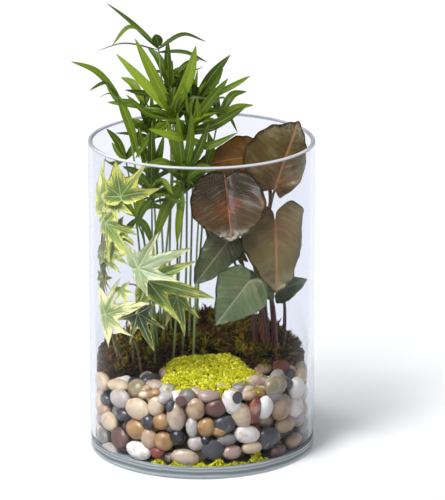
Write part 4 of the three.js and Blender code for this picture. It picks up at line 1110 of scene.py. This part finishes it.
leafOutlines = {
    "ivy": [(0, 1), (10, 0.64), (24, 0.42), (46, 0.84), (63, 0.42), (84, 0.34), (107, 0.6), (142, 0.28)],
    "ivyDrawn": [(0, 1), (9, 0.6), (21, 0.36), (37, 0.78), (54, 0.36), (72, 0.28), (95, 0.52), (140, 0.18)],
    "ivyFan": [(0, 0.85), (14, 0.54), (26, 0.46), (42, 0.95), (62, 0.46), (84, 0.85), (108, 0.42),
               (146, 0.22)],
    "arrowShort": [(0, 1), (15, 0.87), (30, 0.8), (50, 0.68), (74, 0.55), (98, 0.4), (138, 0.28)],
    "arrowhead": [(0, 1), (14, 0.84), (33, 0.69), (58, 0.6), (84, 0.54), (112, 0.52), (146, 0.5),
                  (172, 0.28)],
    "arrowBroad": [(0, 1), (18, 0.92), (44, 0.95), (76, 1.05), (106, 1.12), (134, 1.2), (158, 1.2),
                   (178, 1)],
    "arrowWide": [(0, 1), (14, 0.78), (38, 0.62), (72, 0.56), (96, 0.46), (122, 0.4), (158, 0.26)],
    "arrowNarrow": [(0, 1), (12, 0.8), (32, 0.55), (64, 0.4), (104, 0.38), (136, 0.43), (162, 0.26)],
}
leafParts = ("joint", "tip", "face", "outline", "wide", "tone", "blush", "droop", "skew")
wholeLeaf = {  # the thickness in mm, and the rest in lengths of the leaf
    "notch": 0.12, "rings": 12, "stepsOnEdge": 6, "thickness": 0.5, "edgeWave": 0.014,
    "cup": 0.1, "droop": 0.12,  # the droop of a leaf that has none of its own
    "ivyPleat": 0.03, "ivyCurl": 0.05, "ivyHang": 0.5,  # the last for the tips of its lobes
    "pleatAngle": 24, "hangFrom": 0.55,  # degrees from a vein, and how far out a lobe starts to hang
    "arrowPleat": 0.011, "arrowCurl": 0.04, "arrowRise": 0.035,  # the last for both sides of the midrib
    "ribs": 34, "ribSlope": 0.55, "creases": (21, 13), "creaseShare": 0.4,
    "pleatSpeed": 6, "riseSpeed": 5,  # how soon they are full beside the midrib
    "wave": 0.02, "ivyWaves": (9, 5, 2), "arrowWaves": (10, 8, 3),  # across, along, and by the seed
    "curls": 5, "curlPower": 3,
    "overlap": 1.035, "overlapRise": 0.05,  # how the broad leaf's one back lobe lies on the other
    "overlapFrom": 140, "overlapOver": 20,  # degrees
}
lobeAngles = {"ivy": (46, 107), "ivyDrawn": (37, 95), "ivyFan": (42, 84)}  # degrees of the side lobes
evenLobes = (45, 100)  # where the paint expects them


def evenAngle(outline, angle):  # the angle on a leaf whose lobes stand at the even angles
    if outline not in lobeAngles:
        return angle
    marks = list(zip((0, *lobeAngles[outline], 180), (0, *evenLobes, 180)))
    for (low, lowEven), (high, highEven) in zip(marks, marks[1:]):
        if abs(angle) <= high:
            return math.copysign(lowEven + (abs(angle) - low) / (high - low) * (highEven - lowEven), angle)
    return angle


def rimPoints(outline):  # (along, across) round the edge, in leaf lengths, pointed only at the lobes' tips
    half = leafOutlines[outline]
    corners = half + [(180, wholeLeaf["notch"])] + [(-angle, reach) for angle, reach in reversed(half[1:])]
    if outline == "arrowBroad":
        turn = wholeLeaf["overlap"]
        corners = [(angle * turn if 120 < angle < 180 else angle, reach) for angle, reach in corners]
    flat = [Vector((reach * math.cos(math.radians(angle)), reach * math.sin(math.radians(angle)), 0))
            for angle, reach in corners]
    count, steps = len(flat), wholeLeaf["stepsOnEdge"]
    reaches = [reach for _, reach in corners]

    def isSharp(i):
        isTip = reaches[i] > max(reaches[i - 1], reaches[(i + 1) % count])
        return i in (0, len(half)) or (isTip and not outline.startswith("arrow"))

    rim = []
    for i, corner in enumerate(flat):
        j = (i + 1) % count
        before = corner * 2 - flat[j] if isSharp(i) else flat[i - 1]
        after = flat[j] * 2 - corner if isSharp(j) else flat[(j + 1) % count]
        path = [before, corner, flat[j], after]
        rim += [pathPoint(path, (1 + step / steps) / 3).xy for step in range(steps)]
    waves = [math.sin(1.1 * i) + math.sin(0.43 * i) for i in range(len(rim))]
    return [point * (1 + wholeLeaf["edgeWave"] * wave) for point, wave in zip(rim, waves)]


def leafWave(waves, along, across, share, seed):
    acrossWaves, alongWaves, shift = wholeLeaf[waves]
    return wholeLeaf["wave"] * math.sin(acrossWaves * across + alongWaves * along + shift * seed) * share


def edgeCurl(size, angle, share, seed):
    curl = math.sin(math.radians(wholeLeaf["curls"] * angle) + seed)
    return wholeLeaf[size] * curl * share ** wholeLeaf["curlPower"]


def leafLift(leaf, along, across, share, seed):  # how far a spot rises from the leaf's plane
    angle = math.degrees(math.atan2(across, along))
    lift = wholeLeaf["cup"] * across ** 2 - leaf.get("droop", wholeLeaf["droop"]) * max(0, along) ** 2
    if leaf["outline"].startswith("ivy"):
        even = abs(evenAngle(leaf["outline"], angle))
        nearest = min(abs(even - vein) for vein in (0, *evenLobes))
        lift += wholeLeaf["ivyPleat"] * min(1, nearest / wholeLeaf["pleatAngle"]) * share
        lift += edgeCurl("ivyCurl", even, share, seed)
        lift -= wholeLeaf["ivyHang"] * max(0, math.hypot(across, along) - wholeLeaf["hangFrom"]) ** 2
        return lift + leafWave("ivyWaves", along, across, share, seed)
    acrossCreases, alongCreases = wholeLeaf["creases"]
    ribs = math.sin(wholeLeaf["ribs"] * (along - wholeLeaf["ribSlope"] * abs(across)) + seed)
    ribs += wholeLeaf["creaseShare"] * math.sin(acrossCreases * across + alongCreases * along)
    lift += wholeLeaf["arrowPleat"] * ribs * share * min(1, abs(across) * wholeLeaf["pleatSpeed"])
    lift += wholeLeaf["arrowRise"] * min(1, abs(across) * wholeLeaf["riseSpeed"])
    lift += edgeCurl("arrowCurl", angle, share, seed)
    if leaf["outline"] == "arrowBroad" and angle > wholeLeaf["overlapFrom"]:
        past = (angle - wholeLeaf["overlapFrom"]) / wholeLeaf["overlapOver"]
        lift += wholeLeaf["overlapRise"] * min(1, past) * share
    return lift + leafWave("arrowWaves", along, across, share, seed)


def addWholeLeaf(shape, leaf, seed):  # rings round the joint on both faces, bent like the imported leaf
    origin = keepInside(Vector(leaf["joint"]))
    axis = Vector(leaf["tip"]) - origin
    length = axis.length
    axis.normalize()
    side = axis.cross(Vector(leaf["face"])).normalized()
    normal = side.cross(axis).normalized()
    wide, skew = leaf["wide"], leaf.get("skew", 0)
    rim = rimPoints(leaf["outline"])
    rings = wholeLeaf["rings"]
    middles = [(origin, 0, 0, 0)]
    for ring in range(1, rings + 1):
        share = ring / rings
        for edge in rim:
            along, across = edge.x * share, edge.y * share
            breadth = across * wide * (1 + skew * math.copysign(1, across))
            lift = leafLift(leaf, along, across, share, seed)
            point = origin + axis * length * along + side * length * breadth + normal * length * lift
            even = math.radians(evenAngle(leaf["outline"], math.degrees(math.atan2(across, along))))
            radius = math.hypot(across, along)
            middles.append((keepInside(point), share, radius * math.cos(even), radius * math.sin(even)))
    count, layer = len(rim), len(middles)
    first = len(shape["points"])
    for through in (0.5, -0.5):
        for point, share, along, across in middles:
            thickness = wholeLeaf["thickness"] * (1.3 - share)
            shape["points"].append(point + normal * through * thickness)
            shape["rim"].append(share)
            shape["spot"].append((along, across, seed))
            shape["tone"].append(leaf["tone"])
            shape["blush"].append(leaf["blush"])

    def at(ring, i):
        return first + 1 + (ring - 1) * count + i % count

    for i in range(count):
        faces = [(first, at(1, i), at(1, i + 1))]
        faces += [(at(r, i), at(r + 1, i), at(r + 1, i + 1), at(r, i + 1)) for r in range(1, rings)]
        for face in faces:
            shape["faces"].append(tuple(reversed(face)))
            shape["faces"].append(tuple(corner + layer for corner in face))
        a, b = at(rings, i), at(rings, i + 1)
        shape["faces"].append((a, a + layer, b + layer, b))


def newShape():
    return {"points": [], "faces": [], "rim": [], "spot": [], "tone": [], "blush": []}


def shapeObject(name, shape, material):
    attributes = {key: shape[key] for key in ("rim", "spot", "tone", "blush")}
    mesh = meshFrom(name, shape["points"], shape["faces"], attributes=attributes)
    mesh.shade_smooth()
    mesh.materials.append(material)
    return showObject(name, mesh)


# Variegated ivy: a stem and its leaves; share is where a leaf leaves the stem. The leaves that face
# (-0.35, -0.8, 0.45) are small ones between the large ones, and only the scene has them.

ivy = {
    "stemRadius": 1.1, "stemTaper": 0.3, "petioleRadius": 0.7, "petioleTaper": 0.2, "arch": 3,
}
# tone goes from dark, 0, to pale, 1; blush is where the pale margin starts, from the joint to the edge
vines = [  # of each, the stem's points and the leaves: share, then the parts of a leaf
    ([(-72, -8, 73), (-80, -16, 110), (-89, -6, 165), (-87, -10, 205), (-82, -24, 235)],
     [(0.9, (-85, -12, 229), (-90, 8, 266), (-0.75, -0.65, 0.1), "ivy", 0.8, 0.45, 0.66),
      (0.98, (-70, -48, 244), (-76, -50, 282), (-0.2, -1, 0.25), "ivyFan", 1.1, 0.42, 0.7),
      (0.93, (-76, -42, 236), (-60, -54, 229), (-0.35, -0.8, 0.45), "ivy", 1, 0.5, 0.7),
      (0.8, (-84, -32, 222), (-91, -22, 212), (-0.35, -0.8, 0.45), "ivy", 1, 0.5, 0.6),
      (0.55, (-86, -28, 165), (-89, -24, 150), (-0.35, -0.8, 0.45), "ivy", 1, 0.1, 0.9)]),
    ([(-66, -14, 73), (-80, -30, 115), (-87, -26, 160), (-86, -30, 195), (-81, -40, 218)],
     [(0.98, (-83, -42, 218), (-60, -64, 187), (-0.5, -0.85, 0.2), "ivyDrawn", 0.9, 0.46, 0.72),
      (0.75, (-85, -39, 186), (-72, -60, 180), (-0.4, -0.5, 0.75), "ivy", 0.9, 0.2, 0.85),
      (0.85, (-72, -43, 210), (-58, -53, 204), (0.1, -0.7, 0.7), "ivy", 0.8, 0.42, 0.7),
      (0.62, (-86, -32, 176), (-84, -38, 152), (-0.3, -1, 0), "ivy", 0.35, 0.1, 0.95),
      (0.92, (-74, -40, 212), (-60, -50, 200), (-0.35, -0.8, 0.45), "ivy", 1, 0.45, 0.68),
      (0.72, (-80, -42, 192), (-66, -52, 184), (-0.35, -0.8, 0.45), "ivy", 1, 0.4, 0.72),
      (0.6, (-89, -28, 187), (-76, -42, 176), (-0.35, -0.8, 0.45), "ivy", 1, 0.15, 0.95)]),
    ([(-60, -10, 73), (-62, -24, 112), (-56, -38, 150), (-58, -54, 178)],
     [(0.99, (-55, -70, 185), (-12, -84, 206), (0.1, -1, 0.3), "ivyDrawn", 1, 0.92, 0.86),
      (0.9, (-47, -58, 170), (11, -66, 156), (0, -0.97, 0.25), "ivyDrawn", 1, 0.42, 0.86),
      (0.8, (-70, -50, 160), (-64, -58, 146), (-0.35, -0.8, 0.45), "ivy", 1, 0.55, 0.6)]),
    ([(-54, -14, 73), (-58, -26, 100), (-66, -42, 125), (-60, -50, 144)],
     [(0.75, (-84, -37, 133), (-52, -77, 156), (-0.4, -0.85, 0.3), "ivyDrawn", 1, 0.6, 0.56, 0.03),
      (0.95, (-56, -54, 139), (-42, -66, 108), (0, -1, 0.2), "ivyDrawn", 1, 0.0, 0.98),
      (0.98, (-22, -48, 152), (-14, -54, 116), (0.1, -1, 0.2), "ivyDrawn", 0.9, 0.36, 0.84)]),
]


def paintIvyLeaf(graph):  # green veins and middle, a pale margin that reaches in by streaks
    rim, tone, margin = [graph.attribute(name) for name in ("rim", "tone", "blush")]
    along, across, seed = graph.split(graph.attribute("spot", "Vector"))
    angle = across.maths("ARCTAN2", abs(across), along)
    radius = (across * across + along * along) ** 0.5
    veins = None
    for degrees in (0, *evenLobes):
        off = abs((angle - math.radians(degrees)).sine()) * radius
        veins = off if veins is None else veins.least(off)
    vein = 1 - veins.between(0.004, 0.018)
    streaks = graph.noise(graph.combine(angle * 9, rim * 1.2, seed * 3), 2.6, 3)
    patch = graph.noise(objectPlace(graph), 90, 3)
    inward = rim + (streaks - 0.5) * 2.4 * rim - margin
    green = graph.ramp(
        tone + (patch - 0.5) * 0.5,
        (0.0, (0.016, 0.036, 0.008)), (0.25, (0.045, 0.095, 0.010)), (0.5, (0.13, 0.215, 0.022)),
        (0.75, (0.19, 0.26, 0.09)), (1.0, (0.31, 0.38, 0.21)),
    )
    edge = graph.mix(tone.between(0.48, 0.6), (0.66, 0.63, 0.11), (0.74, 0.71, 0.34))
    middle = graph.mix(inward.between(-0.22, -0.12) * 0.45, green, graph.mix(0.45, green, edge))
    leaf = graph.mix(inward.between(0.02, 0.12), middle, edge)
    lined = graph.mix(rim.between(0.94, 0.975) * 0.85, leaf, edge)
    colour = graph.mix(vein * 0.5, lined, (0.60, 0.62, 0.30))
    return finish(colour, 0.4 + patch * 0.2, patch * 0.6 - vein, 0.3, 0.7)


def paintWoodyStem(graph):
    bark = graph.noise(objectPlace(graph), 260, 3)
    colour = graph.mix(bark.between(0.35, 0.7), (0.11, 0.075, 0.03), (0.30, 0.24, 0.11))
    return finish(colour, 0.55 + bark * 0.2, bark, 0.2)


def makeIvy():
    leafPaint = makeMaterial("ivyLeaf", paintIvyLeaf, Coat_Weight=0.1, Coat_Roughness=0.3)
    stemPaint = makeMaterial("ivyStem", paintWoodyStem)
    for number, (path, leaves) in enumerate(vines, 1):
        stem = vectors(path)
        stems, shape = Strands(), newShape()
        addStem(stems, path, ivy["stemRadius"], ivy["stemTaper"], 0.5)
        for share, *parts in leaves:
            leaf = dict(zip(leafParts, parts))
            foot, joint = pathPoint(stem, share), Vector(leaf["joint"])
            arch = (foot + joint) / 2 + Vector((0, 0, ivy["arch"]))
            addStem(stems, [foot, arch, joint], ivy["petioleRadius"], ivy["petioleTaper"], 0.5)
            addWholeLeaf(shape, leaf, number + 1.7 * len(shape["points"]) % 5)
        pieces = [sweep("stalk", stems, stemSection, stemPaint), shapeObject("leaves", shape, leafPaint)]
        placePiece(joinPieces(f"ivyVine{number}", pieces), "ivy_leaf", f"ivy_vine_{number}")
    print("ivy made:", len(vines), "vines")


makeIvy()


# Arrowhead plant: each leaf on its own petiole up from the crown.

arrowhead = {
    "petioleRadius": (2.0, 0.95),  # at the foot and at the leaf
    "thickPetioles": {2: (1.9, 1.7)},  # by the number of the leaf
}
arrowheads = [  # of each, the petiole's points, then the parts of its leaf after the joint
    ([(62, 16, 73), (57, 10, 120), (55, 2, 180), (61, -5, 225), (66, -7, 245)],
     (86, 8, 297), (0.1, -1, 0.1), "arrowShort", 0.9, 0.42, 0.35, 0.12, -0.32),
    ([(57, 20, 73), (53, 17, 130), (51, 13, 190), (61, 12, 222), (56, 14, 250), (48, 13, 263)],
     (-6, 1, 262), (0, -0.72, 0.7), "arrowhead", 0.66, 0.02, 0.1, 0.2),
    ([(56, 10, 73), (52, 3, 130), (44, -12, 180), (33, -26, 210), (23, -45, 232)],
     (26, -63, 208), (0, -0.8, 0.6), "arrowBroad", 1, 0.2, 1.0),
    ([(67, 8, 73), (62, 0, 130), (60, -16, 180), (64, -38, 212)],
     (66, -56, 158), (0.12, -1, 0.15), "arrowhead", 1, 0.58, 0.3),
    ([(72, 14, 73), (74, 9, 110), (73, -1, 135), (69, -12, 147)],
     (90, -23, 160), (0.2, -1, 0.3), "arrowNarrow", 1.1, 0.9, 0.1),
    ([(52, 15, 73), (46, 6, 120), (34, -8, 160), (21, -30, 195)],
     (-7, -38, 161), (-0.2, -1, 0.25), "arrowNarrow", 1, 0.8, 0.25),
    ([(59, 4, 73), (56, -8, 110), (51, -34, 145), (39, -56, 166)],
     (11, -66, 131), (-0.1, -1, 0.3), "arrowWide", 1, 1.0, 0.1),
    ([(66, 2, 73), (65, -6, 115), (60, -22, 148), (48, -33, 168)],
     (63, -41, 146), (0.2, -1, 0.3), "arrowNarrow", 1, 1.0, 0.1),
    ([(50, 6, 73), (46, 1, 110), (41, -6, 150), (35, -9, 177)],
     (27, -11, 194), (0.3, -1, 0), "arrowNarrow", 0.6, 0.72, 0.2),
]


def paintArrowLeaf(graph):  # bronze or green, with ribs, a pink heart, a frosted tip and a dark edge
    rim, tone, blush = [graph.attribute(name) for name in ("rim", "tone", "blush")]
    along, across, seed = graph.split(graph.attribute("spot", "Vector"))
    place = objectPlace(graph)
    cloud, fine = graph.noise(place, 60, 3), graph.noise(place, 240, 3)
    side = abs(across)
    radius = (across * across + along * along) ** 0.5
    midrib = 1 - side.between(0.008, 0.028)
    ribs = ((along - side * 0.55) * 30 + seed + (cloud - 0.5) * 7).sine()
    lateral = ribs.between(0.8, 1.0) * side.between(0.01, 0.05)
    greenness = tone.between(0.66, 0.78)
    leaf = graph.ramp(
        tone + (cloud - 0.5) * 0.6,
        (0.0, (0.17, 0.072, 0.006)), (0.2, (0.060, 0.028, 0.007)), (0.4, (0.085, 0.058, 0.014)),
        (0.6, (0.145, 0.115, 0.042)), (0.8, (0.048, 0.064, 0.018)), (1.0, (0.080, 0.112, 0.042)),
    )
    back = (0 - along).between(-0.15, 0.5) * blush
    leaf = graph.mix(back * 0.85, leaf, (0.022, 0.015, 0.003))
    trough = (0 - ribs).between(0.0, 1.0) * cloud.between(0.4, 0.7) * fine
    mottled = graph.mix(trough, leaf, graph.mix(0.3, leaf, (0.42, 0.34, 0.18)))
    heart = (1 - radius.between(0.05, 0.55)) * blush
    glow = heart * (0.05 + lateral * 0.6 + midrib * 0.8 + cloud.between(0.45, 0.7) * 0.5)
    pink = graph.mix(glow.least(1.0), mottled, (0.40, 0.055, 0.045))
    frost = along.between(0.55, 0.95) * blush * fine.between(0.3, 0.6)
    frosted = graph.mix(frost * 0.8, pink, (0.42, 0.42, 0.32))
    veinColour = graph.mix(greenness, (0.40, 0.17, 0.07), (0.20, 0.24, 0.14))
    veined = graph.mix((midrib * 0.7 + lateral * (greenness * 0.08 + 0.08)).least(1.0), frosted, veinColour)
    edged = graph.mix(rim.between(0.965, 0.99) * 0.5, veined, (0.05, 0.028, 0.015))
    return finish(edged, 0.3 + fine * 0.25, fine * 0.5 - midrib - lateral * 0.6, 0.45, 0.7)


def paintPetiole(graph):  # red at the foot, purple above it and bronze under the leaf
    along = graph.attribute("along")
    streak = graph.noise(objectPlace(graph), 120, 3)
    red = graph.mix(streak, (0.20, 0.02, 0.025), (0.36, 0.05, 0.045))
    purple = graph.mix(streak, (0.035, 0.012, 0.014), (0.13, 0.045, 0.035))
    head = graph.mix(streak, (0.12, 0.05, 0.015), (0.34, 0.16, 0.05))
    lower = graph.mix(along.between(0.08, 0.22), red, purple)
    colour = graph.mix(along.between(0.45, 0.85), lower, head)
    return finish(colour, 0.35 + streak * 0.2)


def makeArrowhead():
    leafPaint = makeMaterial("arrowheadLeaf", paintArrowLeaf, Specular_IOR_Level=0.22, Coat_Weight=0.08,
                             Coat_Roughness=0.15)
    stemPaint = makeMaterial("arrowheadPetiole", paintPetiole)
    for number, (petiole, *parts) in enumerate(arrowheads, 1):
        stems, shape = Strands(), newShape()
        foot, top = arrowhead["thickPetioles"].get(number, arrowhead["petioleRadius"])
        addStem(stems, petiole, foot, 1 - top / foot, 0.5)
        addWholeLeaf(shape, dict(zip(leafParts, (petiole[-1], *parts))), number)
        pieces = [sweep("stalk", stems, stemSection, stemPaint), shapeObject("blade", shape, leafPaint)]
        placePiece(joinPieces(f"arrowheadLeaf{number}", pieces), "arrowhead_leaf", f"arrowhead_leaf_{number}")
    print("arrowhead plant made:", len(arrowheads), "leaves")


makeArrowhead()


# Studio: a white floor, a bright world and large soft lamps.

studio = {
    "world": (0.94, 0.96, 1.0), "worldStrength": 0.5,
    "floorSize": 12,  # m
    "sun": {"place": (-0.8, -0.85, 1.6), "angle": 20, "energy": 2.3},
    "softBox": {"place": (-0.9, -1.3, 1.1), "aim": (0, 0, 0.15), "size": 0.7, "energy": 3},
}


def addLamp(name, kind, place, energy, aim=(0, 0, 0), angle=0, size=0):
    lamp = bpy.data.lights.new(name, kind)
    lamp.energy = energy
    if kind == "SUN":
        lamp.angle = math.radians(angle)
    else:
        lamp.shape, lamp.size = "DISK", size
    shown = showObject(name, lamp)
    shown.location = place
    shown.rotation_euler = (Vector(aim) - Vector(place)).to_track_quat("-Z", "Y").to_euler()


def paintFloor(graph):
    mottle = graph.noise(objectPlace(graph), 6, 2)
    return finish(graph.mix(mottle, (0.96, 0.96, 0.97), (0.98, 0.98, 0.98)), 0.9)


def makeStudio():
    half = studio["floorSize"] / 2 / mm
    corners = [(-half, -half, 0), (half, -half, 0), (half, half, 0), (-half, half, 0)]
    mesh = meshFrom("floor", corners, [(0, 1, 2, 3)])
    mesh.materials.append(makeMaterial("paleFloor", paintFloor))
    showObject("floor", mesh)
    world = bpy.data.worlds.new("studioWorld")
    world.use_nodes = True
    background = world.node_tree.nodes["Background"]
    background.inputs["Color"].default_value = (*studio["world"], 1)
    background.inputs["Strength"].default_value = studio["worldStrength"]
    bpy.context.scene.world = world
    addLamp("sun", "SUN", **studio["sun"])
    addLamp("softBox", "AREA", **studio["softBox"])
    bpy.context.scene.view_settings.view_transform = "Standard"


makeStudio()
print("studio made")
